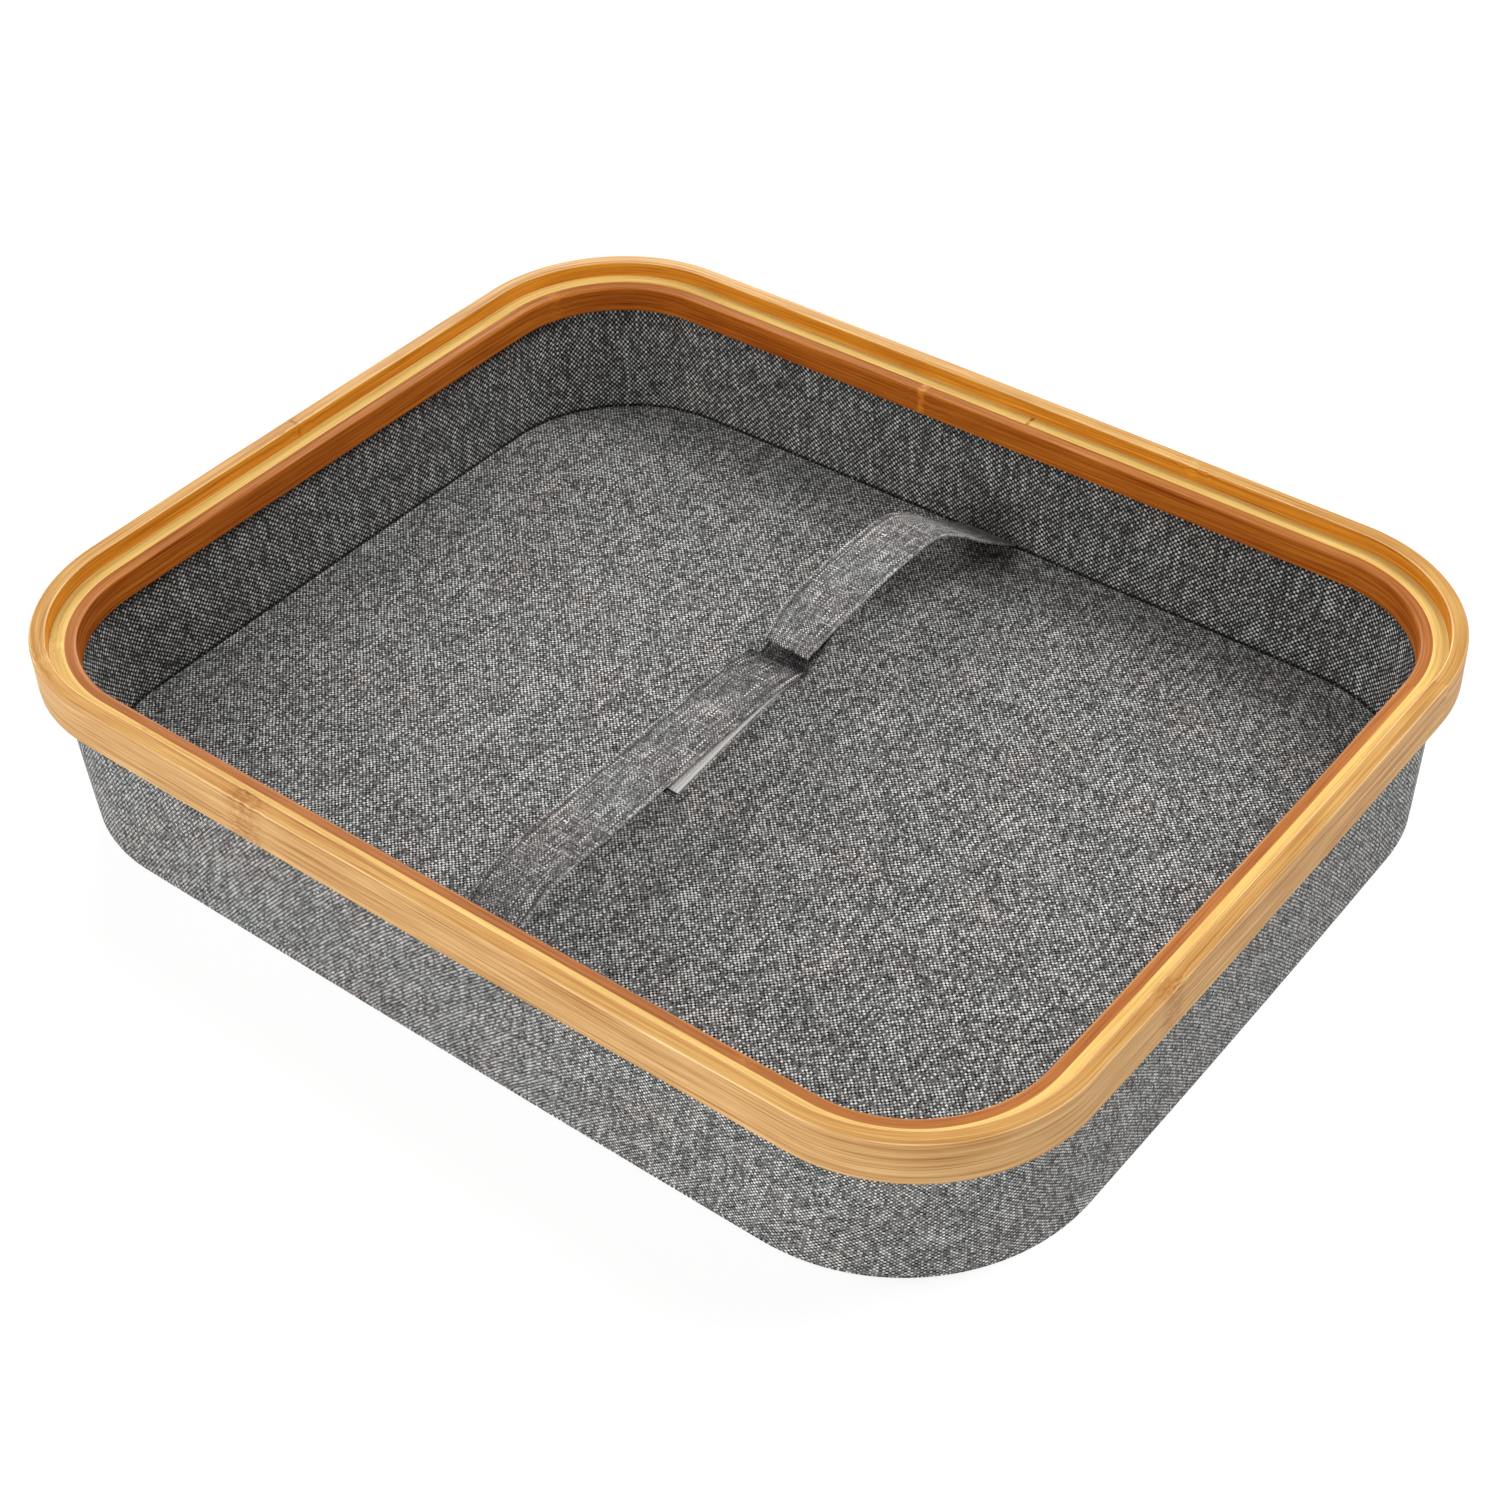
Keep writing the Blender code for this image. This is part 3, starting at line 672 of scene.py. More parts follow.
wall_cover = ring("wall_cover_cloth", skin_section(COVER_INSET, COVER_FOOT, COVER_TURN_IN, COVER_FOOT_ROUND),
                  cloth_outside, cover_ripple)
wall_lining = ring("wall_lining_cloth", skin_section(LINING_INSET, LINING_FOOT, LINING_TURN_IN, 0.0),
                   cloth_wall, lining_ripple, seam_shade)
dress_tray(((wall_cover, "wall_cover", "linen_look_fabric"), (wall_lining, "wall_lining", "linen_look_lining")))

# %% [markdown]
# ## Floor panel and base
# The floor is a board with a sheet of foam, covered with the same cloth, and pushed down between the
# walls, which leaves a fine dark line all round. The foam gives it a soft edge and a surface that
# isn't quite flat. The base is a board with cloth glued under it. Both cloths are one flat piece,
# so their UV map is the place seen from above.

# %% Floor, foam and base
FLOOR_INSET, PANEL_INSET = 0.0107, 0.0118
PANEL_FOOT, FOAM_FOOT, FLOOR_TOP = 0.0066, 0.0087, 0.0118
# What lies above these heights swells, and the swell fades over SWELL_EDGE towards the panel's edge
CLOTH_SWELLS_ABOVE, FOAM_SWELLS_ABOVE, SWELL_EDGE, SWELL = 0.0105, 0.0100, 0.020, 0.00035
# The weave's map is the place seen from above, moved so that no thread is counted below zero
MAP_SHIFT, PANEL_RINGS = 0.3, 22


def floor_swell(spot, height, above):
    """Foam under cloth: flat at the edge, and a few tenths of a millimetre up and down inside."""
    if height <= above:
        return 0.0
    edge = min(LENGTH / 2 - abs(spot.x), DEPTH / 2 - abs(spot.y)) - FLOOR_INSET
    inside = min(max(edge / SWELL_EDGE, 0.0), 1.0)
    inside = inside * inside * (3 - 2 * inside)
    return SWELL * inside * (noise.noise(Vector((spot.x, spot.y, 0.0)) * 13.0) - 0.2)


def map_pattern(mesh, spots):
    """Gives a mesh the map that the weave reads, from one place in metres for each vertex."""
    layer = mesh.uv_layers.new(name="Pattern")
    for loop in mesh.loops:
        layer.data[loop.index].uv = spots[loop.vertex_index]


def flat_panel(name, loops, look, swells_above=math.inf, shaded_below=0.0):
    """A closed panel: loops of (inset, height) from the top's middle, over the edge, to the middle below."""
    verts, faces = [], []
    for number, (inset, height) in enumerate(loops):
        line = [Vector(outline(column, inset, height)) for column in COLUMNS]
        if number in (0, len(loops) - 1):
            inner = [step / PANEL_RINGS for step in range(1, PANEL_RINGS)]
            shares = inner if number == 0 else list(reversed(inner))
            start = [[point * share for point in line] for share in shares]
            lines = [*start, line] if number == 0 else [line, *start]
        else:
            lines = [line]
        for one in lines:
            for point in one:
                verts.append((point.x, point.y, height + floor_swell(point, height, swells_above)))
    count = len(COLUMNS)
    total = len(verts) // count
    for row in range(total - 1):
        for k in range(count):
            after = (k + 1) % count
            faces.append((row * count + k, row * count + after, (row + 1) * count + after,
                          (row + 1) * count + k))
    for row, height in ((0, loops[0][1]), (total - 1, loops[-1][1])):
        verts.append((0.0, 0.0, height + floor_swell(Vector(), height, swells_above)))
        for k in range(count):
            faces.append((row * count + k, row * count + (k + 1) % count, len(verts) - 1))
    mesh = bpy.data.meshes.new(name)
    mesh.from_pydata(verts, [], faces)
    outward(mesh)
    store(mesh, "painted_light_and_tone", [SEAM_SHADE if vert.co.z < shaded_below else 0.0 for vert in mesh.vertices])
    map_pattern(mesh, [(vert.co.x + MAP_SHIFT, vert.co.y + MAP_SHIFT) for vert in mesh.vertices])
    return link(name, mesh, look)


# Blown foam has a dull white skin over closed cells about a millimetre wide
foam, tree, shader = new_material("white polyethylene foam")
cells = add(tree, "ShaderNodeTexVoronoi", {"Vector": add(tree, "ShaderNodeTexCoord").outputs["Object"],
                                           "Scale": 900.0})
tone = add(tree, "ShaderNodeValToRGB", {0: cells}, stops=[(0.0, "#D9D8D4"), (0.6, "#ECEBE7")])
feed(tree, shader, {"Base Color": tone, "Roughness": 0.85})

FLOOR_SIDE, FLOOR_ROUND, EDGE_SHADED = FLOOR_INSET + 0.0004, 0.0010, 0.35
SIDE_STATION, INNER_ROUND, EDGE_DROP = 0.0088, 0.0004, 0.005
FOAM_ROUND, FOAM_SHOULDER, FOAM_TOP = 0.0006, 0.0015, 0.0019
BASE_INSET, BASE_ROUND = 0.0071, 0.0001
soft = [(FLOOR_SIDE + FLOOR_ROUND * (1 - math.cos(a)), FLOOR_TOP - FLOOR_ROUND * (1 - math.sin(a)))
        for a in (math.pi / 2 * step / ROUND_STEPS for step in range(ROUND_STEPS, -1, -1))]
inner = FLOOR_SIDE + CLOTH
# The floor cloth is painted darker below the top of its rounded edge, as shade in the line along the walls
floor_cloth = flat_panel(
    "floor_cloth", [*soft, (FLOOR_SIDE, SIDE_STATION), (FLOOR_SIDE, PANEL_FOOT), (inner, PANEL_FOOT),
                    (inner, SIDE_STATION), (inner, FLOOR_TOP - CLOTH - INNER_ROUND),
                    (inner + INNER_ROUND, FLOOR_TOP - CLOTH)],
    cloth_inside, CLOTH_SWELLS_ABOVE, FLOOR_TOP - FLOOR_ROUND * EDGE_SHADED)
foam_pad = flat_panel(
    "foam_pad", [(PANEL_INSET + FOAM_ROUND, FOAM_FOOT + FOAM_TOP), (PANEL_INSET, FOAM_FOOT + FOAM_SHOULDER),
                 (PANEL_INSET, FOAM_FOOT)],
    foam, FOAM_SWELLS_ABOVE)
base_cloth = flat_panel("base_cloth", [(BASE_INSET + BASE_ROUND, CLOTH), (BASE_INSET, CLOTH / 2),
                                       (BASE_INSET + BASE_ROUND, 0.0)], cloth_outside)
dress_tray(((floor_cloth, "floor_cover", "linen_look_lining"), (foam_pad, "floor_foam", "foam_sheet"),
            (base_cloth, "base_cover", "linen_look_fabric")))

# %% [markdown]
# ## Boards
# The boards inside the walls, the base and the floor are hidden, but each is a piece of the object
# and keeps its CAD solid. Grey board is pressed paper pulp: flecks of fibre over a soft mottle.

# %% Grey board material
board, tree, shader = new_material("grey pressed fibreboard")
where = add(tree, "ShaderNodeTexCoord")
mottle = add(tree, "ShaderNodeTexNoise", {"Vector": where.outputs["Object"], "Scale": 900.0, "Detail": 4.0})
tone = add(tree, "ShaderNodeValToRGB", {0: mottle}, stops=[(0.35, "#77716A"), (0.65, "#958E84")])
bump = add(tree, "ShaderNodeBump", {"Height": mottle, "Strength": 0.2, "Distance": 0.0001})
feed(tree, shader, {"Base Color": tone, "Normal": bump, "Roughness": 0.88})
for name in ("wall_board", "base_board", "floor_board"):
    nodes[name].data.materials.clear()
    nodes[name].data.materials.append(board)
print("board material on three CAD nodes")

# %% [markdown]
# ## Paths of the strap
# Each half of the strap bows up from its stitched root at the foot of a wall. The paths are the ones
# that the CAD solids follow, so the cloth lies where the frame says. A smooth curve goes through a
# few points taken from the photograph, given as shares of the half's reach and of its bow.

# %% Strap paths
STRAP_WIDTH, STRAP_THICKNESS, STRAP_MIDDLE = 0.023, 0.0012, -0.002
ROOT_PLACE, ROOT_HEIGHT = 0.1492, 0.0127
REAR_BOW, FRONT_BOW, LIP_PLACE, TIP_GAP = 0.0353, 0.0270, 0.0215, 0.0008
STATION, CURVE_STEPS = 0.0012, 10
REAR_BOW_SHARES = (
    (0.0, 0.0), (0.09, 0.22), (0.175, 0.43), (0.245, 0.63), (0.305, 0.79), (0.36, 0.91), (0.415, 0.975),
    (0.485, 1.0), (0.585, 1.0), (0.685, 0.985), (0.825, 0.93), (0.925, 0.87), (1.0, 0.825),
)
FRONT_BOW_SHARES = (
    (0.0, 0.0), (0.055, 0.225), (0.11, 0.46), (0.165, 0.69), (0.225, 0.85), (0.285, 0.92), (0.40, 0.955),
    (0.56, 0.97), (0.735, 0.985), (0.885, 1.0), (0.935, 0.985), (0.97, 0.95), (1.0, 0.91),
)


def smooth_through(stations):
    """A Catmull-Rom curve through points in the plane of depth and height."""
    padded = [stations[0], *stations, stations[-1]]
    curve = []
    for i in range(1, len(padded) - 2):
        p0, p1, p2, p3 = padded[i - 1:i + 3]
        for step in range(CURVE_STEPS):
            t = step / CURVE_STEPS
            curve.append(0.5 * (2 * p1 + (p2 - p0) * t + (2 * p0 - 5 * p1 + 4 * p2 - p3) * t ** 2
                                + (3 * p1 - p0 - 3 * p2 + p3) * t ** 3))
    curve.append(stations[-1])
    return curve


def evenly(curve, step):
    """The same curve with stations a step apart."""
    marks = [0.0]
    for here, ahead in zip(curve, curve[1:]):
        marks.append(marks[-1] + (ahead - here).length)
    count = max(2, round(marks[-1] / step))
    wanted = [marks[-1] * i / count for i in range(count + 1)]
    return [Vector((np.interp(w, marks, [p.x for p in curve]), np.interp(w, marks, [p.y for p in curve])))
            for w in wanted]


def height_at(curve, place):
    """The curve's height at one place along the depth."""
    ordered = sorted(curve, key=lambda p: p.x)
    return float(np.interp(place, [p.x for p in ordered], [p.y for p in ordered]))


rear_reach, front_reach = ROOT_PLACE - LIP_PLACE, ROOT_PLACE + LIP_PLACE - TIP_GAP
rear_path = smooth_through([Vector((ROOT_PLACE - run * rear_reach, ROOT_HEIGHT + rise * REAR_BOW))
                            for run, rise in REAR_BOW_SHARES])
front_path = smooth_through([Vector((run * front_reach - ROOT_PLACE, ROOT_HEIGHT + rise * FRONT_BOW))
                             for run, rise in FRONT_BOW_SHARES])
rear_path, front_path = evenly(rear_path, STATION), evenly(front_path, STATION)
print("rear half", len(rear_path), "stations, front half", len(front_path))

# %% [markdown]
# ## Tongue and tapes
# Under the rear half a narrower tongue is sewn on, which reaches forward under the front half. It
# carries the loop tape on top, and the front half carries the hook tape underneath. The tongue leans
# to the right and sags towards its end, so both tapes show there as two white lines that part.

# %% Tongue path
TONGUE_REACH, TONGUE_WIDTH, TAPE_WIDTH = 0.0715, 0.0206, 0.020
HOOK_THICKNESS, LOOP_THICKNESS, LAYER_GAP = 0.0007, 0.0008, 0.0003
tongue_end = LIP_PLACE - TONGUE_REACH
# Behind the lip the tongue rises to the rear half over TONGUE_RISE and is sewn on at SEWN_AT. It sags
# over its last SAG_REACH and leans by LEAN for each metre along
TONGUE_RISE, SEWN_AT, SAG_REACH, SAG, LEAN = 0.030, 0.044, 0.050, 0.0014, 0.05
# The hook tape starts HOOK_START in front of the lip and reaches HOOK_REACH forward. The loop tape keeps
# LOOP_MARGIN clear of the tongue's end and of the lip
HOOK_START, HOOK_REACH, LOOP_MARGIN, TONGUE_STEPS = 0.0045, 0.0565, 0.001, 90
sewn_end = LIP_PLACE + SEWN_AT
tongue_drop = STRAP_THICKNESS + 3 * LAYER_GAP + HOOK_THICKNESS + LOOP_THICKNESS


def eased(share):
    """A share from 0 to 1 that starts and stops gently."""
    share = min(max(share, 0.0), 1.0)
    return share * share * (3 - 2 * share)


def tongue_height(place):
    """The tongue's height at a place along the depth: under the front half, then up to the rear one."""
    sag = SAG * min(max((tongue_end + SAG_REACH - place) / SAG_REACH, 0.0), 1.0) ** 2
    low = height_at(front_path, min(place, LIP_PLACE - TIP_GAP)) - tongue_drop - sag
    high = height_at(rear_path, max(place, LIP_PLACE)) - STRAP_THICKNESS - LAYER_GAP
    return low + (high - low) * eased((place - LIP_PLACE) / TONGUE_RISE)


def tongue_lean(place):
    """How far the tongue stands to the right of the strap's line."""
    return LEAN * (LIP_PLACE - place)


tongue_path = evenly([Vector((tongue_end + (sewn_end - tongue_end) * i / TONGUE_STEPS, 0.0))
                      for i in range(TONGUE_STEPS + 1)], STATION)
tongue_path = [Vector((p.x, tongue_height(p.x))) for p in tongue_path]
hook_drop = STRAP_THICKNESS / 2 + LAYER_GAP + HOOK_THICKNESS / 2
loop_lift = STRAP_THICKNESS / 2 + LAYER_GAP + LOOP_THICKNESS / 2
hook_end = LIP_PLACE - HOOK_START
hook_path = [Vector((p.x, p.y - hook_drop)) for p in front_path if hook_end - HOOK_REACH <= p.x <= hook_end]
loop_path = [Vector((p.x, p.y + loop_lift)) for p in tongue_path
             if tongue_end + LOOP_MARGIN <= p.x <= LIP_PLACE - LOOP_MARGIN]
print("tongue reaches", round(TONGUE_REACH * 1000, 1), "mm in front of the lip")

# %% [markdown]
# ## Bands with hems
# A strap half is a tube of cloth folded flat, so its edges are soft folds, and a row of stitches
# two millimetres in pulls a shallow groove along each. The section is carried along the path at
# right angles to it. The UV map runs across and along the band, so the weave follows its bend.

# %% Band helper
STITCH_GROOVE, STITCH_GROOVE_WIDTH = 0.00022, 0.00045
# Width of the painted highlight on a folded edge and of the painted shade along a sewn line, and how dark that
# shade is
PAINTED_LINE_WIDTH, SEWN_SHADE = 0.0005, 0.8
# Shares of the thickness: how far in a folded edge is round, how long an end's cap is, and how thin it ends
EDGE_ROUND, CAP_LENGTH, CAP_THINNEST = 0.55, 0.5, 0.12
ACROSS_PLACES, CAP_STEPS = 33, 4


def band_section(width, thickness, hem):
    """Half-thickness of a folded band at places across it: (place, rise) from one edge to the other."""
    places = []
    for share in np.linspace(-1, 1, ACROSS_PLACES):
        a = math.sin(share * math.pi / 2) * width / 2
        inside = width / 2 - abs(a)
        bend = 1 - min(inside / (thickness * EDGE_ROUND), 1.0)
        rise = thickness / 2 * min(1.0, math.sqrt(max(1 - bend ** 2, 0.0)))
        if hem:
            rise -= STITCH_GROOVE * math.exp(-((inside - hem) / STITCH_GROOVE_WIDTH) ** 2)
        places.append((a, rise))
    return places


def measured(path):
    """Distance along a path at each of its stations."""
    marks = [0.0]
    for here, ahead in zip(path, path[1:]):
        marks.append(marks[-1] + (ahead - here).length)
    return marks


def on_path(path, marks, mark):
    """Place, direction and upward side of a band's middle line at a distance along it."""
    k = min(max(int(np.searchsorted(marks, mark)) - 1, 0), len(path) - 2)
    share = (mark - marks[k]) / (marks[k + 1] - marks[k])
    before = (path[k + 1] - path[max(k - 1, 0)]).normalized()
    after = (path[min(k + 2, len(path) - 1)] - path[k]).normalized()
    line = before.lerp(after, min(max(share, 0.0), 1.0)).normalized()
    up = Vector((-line.y, line.x)) if line.x >= 0 else Vector((line.y, -line.x))
    return path[k].lerp(path[k + 1], share), line, up


def square_cut(side, mark, length):
    """No change to a band's outline: shifts across it and back along it."""
    return 0.0, 0.0


def on_band(path, marks, a, mark, out, centre, cut):
    """One point of a band: a across it, a distance along it, and out from its middle surface."""
    here, line, up = on_path(path, marks, mark)
    shift, back = cut(a / STRAP_WIDTH + 0.5, mark, marks[-1])
    here = here - line * back
    return Vector((STRAP_MIDDLE + centre(here.x) + a + shift, here.x + up.x * out, here.y + up.y * out)), line, up


def straight(place):
    """A band that keeps to the strap's line."""
    return 0.0


def flat(a, place):
    """A band with an even surface."""
    return 0.0


def no_painted_shade(a, left):
    """A band with no painted shade."""
    return 0.0


def band(name, path, width, thickness, look, centre=straight, hem=0.0, surface=flat, cut=square_cut, painted_shade=no_painted_shade):
    """A closed band along a path, with folded edges and rounded ends. Its last argument gives how much darker its
    cloth is painted, as shade, and paler where it is below zero.
    """
    profile = band_section(width, thickness, hem)
    across = [*((a, r, 1) for a, r in profile), *((a, r, -1) for a, r in reversed(profile[1:-1]))]
    rows = len(across)
    marks = measured(path)
    cap = thickness * CAP_LENGTH
    ends = [(cap * (1 - math.sin(turn)), max(math.cos(turn), CAP_THINNEST))
            for turn in (math.pi / 2 * step / CAP_STEPS for step in range(CAP_STEPS, 0, -1))]
    stations = [*ends, *((mark, 1.0) for mark in marks if cap < mark < marks[-1] - cap),
                *((marks[-1] - mark, close) for mark, close in reversed(ends))]
    verts, faces, spots, painted_tones = [], [], [], []
    for mark, close in stations:
        for a, rise, sign in across:
            place = on_path(path, marks, mark)[0].x
            spot = on_band(path, marks, a, mark, rise * sign * close + surface(a, place), centre, cut)[0]
            inside = width / 2 - abs(a)
            verts.append(tuple(spot))
            spots.append((a + 0.5, mark + 0.5))
            # Painted highlight on the folded edges, painted shade along the sewn lines, and the band's own
            # painted shade
            painted_tones.append(math.exp(-(inside / PAINTED_LINE_WIDTH) ** 2)
                         - (SEWN_SHADE * math.exp(-((inside - hem) / PAINTED_LINE_WIDTH) ** 2) if hem else 0.0)
                         - painted_shade(a, marks[-1] - mark))
    for k in range(len(stations) - 1):
        for m in range(rows):
            after = (m + 1) % rows
            faces.append((k * rows + m, k * rows + after, (k + 1) * rows + after, (k + 1) * rows + m))
    half = len(profile)
    for k in (0, len(stations) - 1):
        for m in range(half - 1):
            low, low_after = (rows - m) % rows, rows - m - 1
            corners = [k * rows + m, k * rows + m + 1, k * rows + low_after, k * rows + low]
            if m == 0:
                corners = corners[:3]
            elif m == half - 2:
                corners = [corners[0], corners[1], corners[3]]
            faces.append(tuple(dict.fromkeys(corners)))
    mesh = bpy.data.meshes.new(name)
    mesh.from_pydata(verts, [], faces)
    store(mesh, "painted_light_and_tone", painted_tones)
    outward(mesh)
    map_pattern(mesh, spots)
    made = link(name, mesh, look)
    print(name, len(mesh.polygons), "faces,", round(marks[-1] * 1000, 1), "mm long")
    return made, marks[-1]


# %% [markdown]
# ## Creases, cuts and painted shade of the strap
# The real strap isn't new cut: it is creased where it was pressed, and its rear half narrows towards a
# skew end. Its front half's tip is painted with the shadow of the rear half's end and a broader shade,
# and is paler at its left edge, and the tongue is painted with shade. Each is a small function of the
# place on the band, so that the shapes and the tones stay apart.

# %% Creases, cuts and painted shade
CREASE, CREASE_ACROSS, CREASE_ALONG, NARROW_OVER = 0.00016, 45.0, 55.0, 0.020
# Shifts of the rear half's end at its left and right edges, across and back along it
LEFT_ACROSS, RIGHT_ACROSS, LEFT_BACK, RIGHT_BACK = 0.0036, -0.0002, 0.0020, 0.0011
# The front half's tip: its paler left edge, the painted shadow of the lip and a broader painted shade, where,
# over what reach and how strongly
PALE_EDGE_AT, PALE_EDGE_REACH, PALE_EDGE_WIDTH, LIP_SHADOW_REACH, SHADE_REACH = 0.0030, 0.0028, 0.03, 0.0042, 0.030
PALE_EDGE_STRENGTH, LIP_SHADOW, LIP_SHADOW_MORE_LEFT, SHADED = 6.0, 1.4, 0.7, 0.4
# Painted shade on the tongue: its strength, how far from the seam end it reaches, and over what length it fades
SEAM_DARK, SEAM_START, SEAM_EASE = 1.1, 0.062, 0.010


def creases(a, place):
    """Cloth that has been bent and pressed: soft waves across the band."""
    return CREASE * noise.noise(Vector((a * CREASE_ACROSS, place * CREASE_ALONG, 3.0)))


def lip_cut(side, mark, length):
    """The rear half narrows over its last 20 mm, most on its left side, and its end is cut askew."""
    near = min(max(1 - (length - mark) / NARROW_OVER, 0.0), 1.0)
    return ((LEFT_ACROSS * (1 - side) + RIGHT_ACROSS * side) * near,
            (LEFT_BACK * (1 - side) + RIGHT_BACK * side) * near)


def lip_shade_and_pale_edge(a, left):
    """The front half's tip gets the painted shadow of the rear half's end, stronger on the left, a broader
    painted shade, and a paler left edge.
    """
    pale_edge = (math.exp(-((a / (STRAP_WIDTH / 2) + 1) / PALE_EDGE_WIDTH) ** 2)
              * math.exp(-((left - PALE_EDGE_AT) / PALE_EDGE_REACH) ** 4))
    lip_shadow_tone = (LIP_SHADOW - LIP_SHADOW_MORE_LEFT * a / (STRAP_WIDTH / 2)) * math.exp(-(left / LIP_SHADOW_REACH) ** 2)
    return lip_shadow_tone + SHADED * math.exp(-(left / SHADE_REACH) ** 2) - PALE_EDGE_STRENGTH * pale_edge


def tongue_seam_shade(a, left):
    """The tongue is painted darker from its seam to just past the lip, as shade where it lies deep between the
    halves.
    """
    return SEAM_DARK * eased((SEAM_START - left) / SEAM_EASE)


print("the rear half narrows over its last", round(NARROW_OVER * 1000), "mm")

# %% [markdown]
# ## Strap halves and tongue
# Three bands of the same cloth: the two halves, whose ends meet at the lip, and the narrower tongue
# under them. A sheet of cloth is folded and sewn for each.

# %% Strap halves and tongue
HEM = 0.0019
front_strap, front_length = band("front_strap", front_path, STRAP_WIDTH, STRAP_THICKNESS, cloth_strap, hem=HEM,
                                 surface=creases, painted_shade=lip_shade_and_pale_edge)
rear_strap, rear_length = band("rear_strap", rear_path, STRAP_WIDTH, STRAP_THICKNESS, cloth_strap, hem=HEM,
                               surface=creases, cut=lip_cut)
rear_tongue, tongue_length = band("rear_tongue", tongue_path, TONGUE_WIDTH, STRAP_THICKNESS, cloth_strap,
                                  centre=tongue_lean, hem=HEM, painted_shade=tongue_seam_shade)
for piece, node in ((front_strap, "strap_front_band"), (rear_strap, "strap_rear_band"),
                    (rear_tongue, "strap_rear_tongue")):
    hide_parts(node)

# %% [markdown]
# ## Hook-and-loop tape
# Both tapes are white woven nylon, twenty millimetres wide. Each is a thin web. One carries rows of
# stiff hooks and the other a tangle of soft loops, which fill the rest of the tape's thickness.

# %% Tapes
tape, tree, shader = new_material("white nylon hook-and-loop tape")
uv = add(tree, "ShaderNodeUVMap", uv_map="Pattern")
rib = add(tree, "ShaderNodeTexWave", {"Vector": uv, "Scale": 260.0, "Distortion": 1.0, "Detail": 1.0},
          bands_direction="X")
fuzz = add(tree, "ShaderNodeTexNoise", {"Vector": uv, "Scale": 1400.0, "Detail": 2.0})
tone = add(tree, "ShaderNodeMix", {0: 0.5, 2: rib, 3: fuzz}, data_type="FLOAT")
painted = add(tree, "ShaderNodeValToRGB", {0: tone}, stops=[(0.2, "#C9C6C2"), (0.7, "#E9E7E4")])
bump = add(tree, "ShaderNodeBump", {"Height": tone, "Strength": 0.3, "Distance": 0.0001})
# Woven nylon is a little glossier than the cloth, and its ribs run along the tape
feed(tree, shader, {"Base Color": painted, "Normal": bump, "Roughness": 0.7})
WEB_SHARE = 0.5


def on_side(path, lift):
    """A path moved up or down."""
    return [Vector((p.x, p.y + lift)) for p in path]


hook_web = on_side(hook_path, HOOK_THICKNESS * (1 - WEB_SHARE) / 2)
loop_web = on_side(loop_path, -LOOP_THICKNESS * (1 - WEB_SHARE) / 2)
hook_strip, hook_length = band("hook_strip", hook_web, TAPE_WIDTH, HOOK_THICKNESS * WEB_SHARE, tape)
loop_strip, loop_length = band("loop_strip", loop_web, TAPE_WIDTH, LOOP_THICKNESS * WEB_SHARE, tape,
                               centre=tongue_lean)
for piece, node in ((hook_strip, "hook_tape"), (loop_strip, "loop_tape")):
    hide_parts(node)

# %% [markdown]
# ## Stitches, hooks and loops
# What repeats is one small shape put at many marked points by one Geometry Nodes tree. Each point
# carries the direction that the shape lies along and the side that it stands up to. The tree's
# result is kept as a plain mesh. A stitch is a short arc of thread that dips into the cloth at both
# ends. A hook is a bent nylon bristle, and a loop is an arch of thread.

# %% Repeating tree
def repeating_tree():
    """Puts a shape at every point, turned by the point's own directions and a little at random."""
    tree = bpy.data.node_groups.new("shape at marked points", "GeometryNodeTree")
    for name, kind in (("Geometry", "Geometry"), ("Shape", "Object"), ("Look", "Material"), ("Wobble", "Float"),
                       ("Seed", "Int")):
        tree.interface.new_socket(name, in_out="INPUT", socket_type="NodeSocket" + kind)
    tree.interface.new_socket("Geometry", in_out="OUTPUT", socket_type="NodeSocketGeometry")
    given = add(tree, "NodeGroupInput").outputs
    along, up = (add(tree, "GeometryNodeInputNamedAttribute", {"Name": name}, data_type="FLOAT_VECTOR")
                 for name in ("along", "up"))
    turned = add(tree, "FunctionNodeAxesToRotation", {0: up, 1: along}, primary_axis="Z", secondary_axis="X")
    less = add(tree, "ShaderNodeMath", {0: given["Wobble"], 1: -1.0}, operation="MULTIPLY")
    loose = add(tree, "FunctionNodeRandomValue", {"Min": less, "Max": given["Wobble"], "Seed": given["Seed"]},
                data_type="FLOAT_VECTOR")
    loose = add(tree, "FunctionNodeEulerToRotation", {0: loose})
    turned = add(tree, "FunctionNodeRotateRotation", {0: turned, 1: loose}, rotation_space="LOCAL")
    shape = add(tree, "GeometryNodeObjectInfo", {"Object": given["Shape"], "As Instance": True})
    placed = add(tree, "GeometryNodeInstanceOnPoints", {
        "Points": given["Geometry"], "Instance": shape.outputs["Geometry"], "Rotation": turned})
    real = add(tree, "GeometryNodeRealizeInstances", {0: placed})
    dressed = add(tree, "GeometryNodeSetMaterial", {"Geometry": real, "Material": given["Look"]})
    add(tree, "NodeGroupOutput", {0: dressed})
    return tree


repeating = repeating_tree()


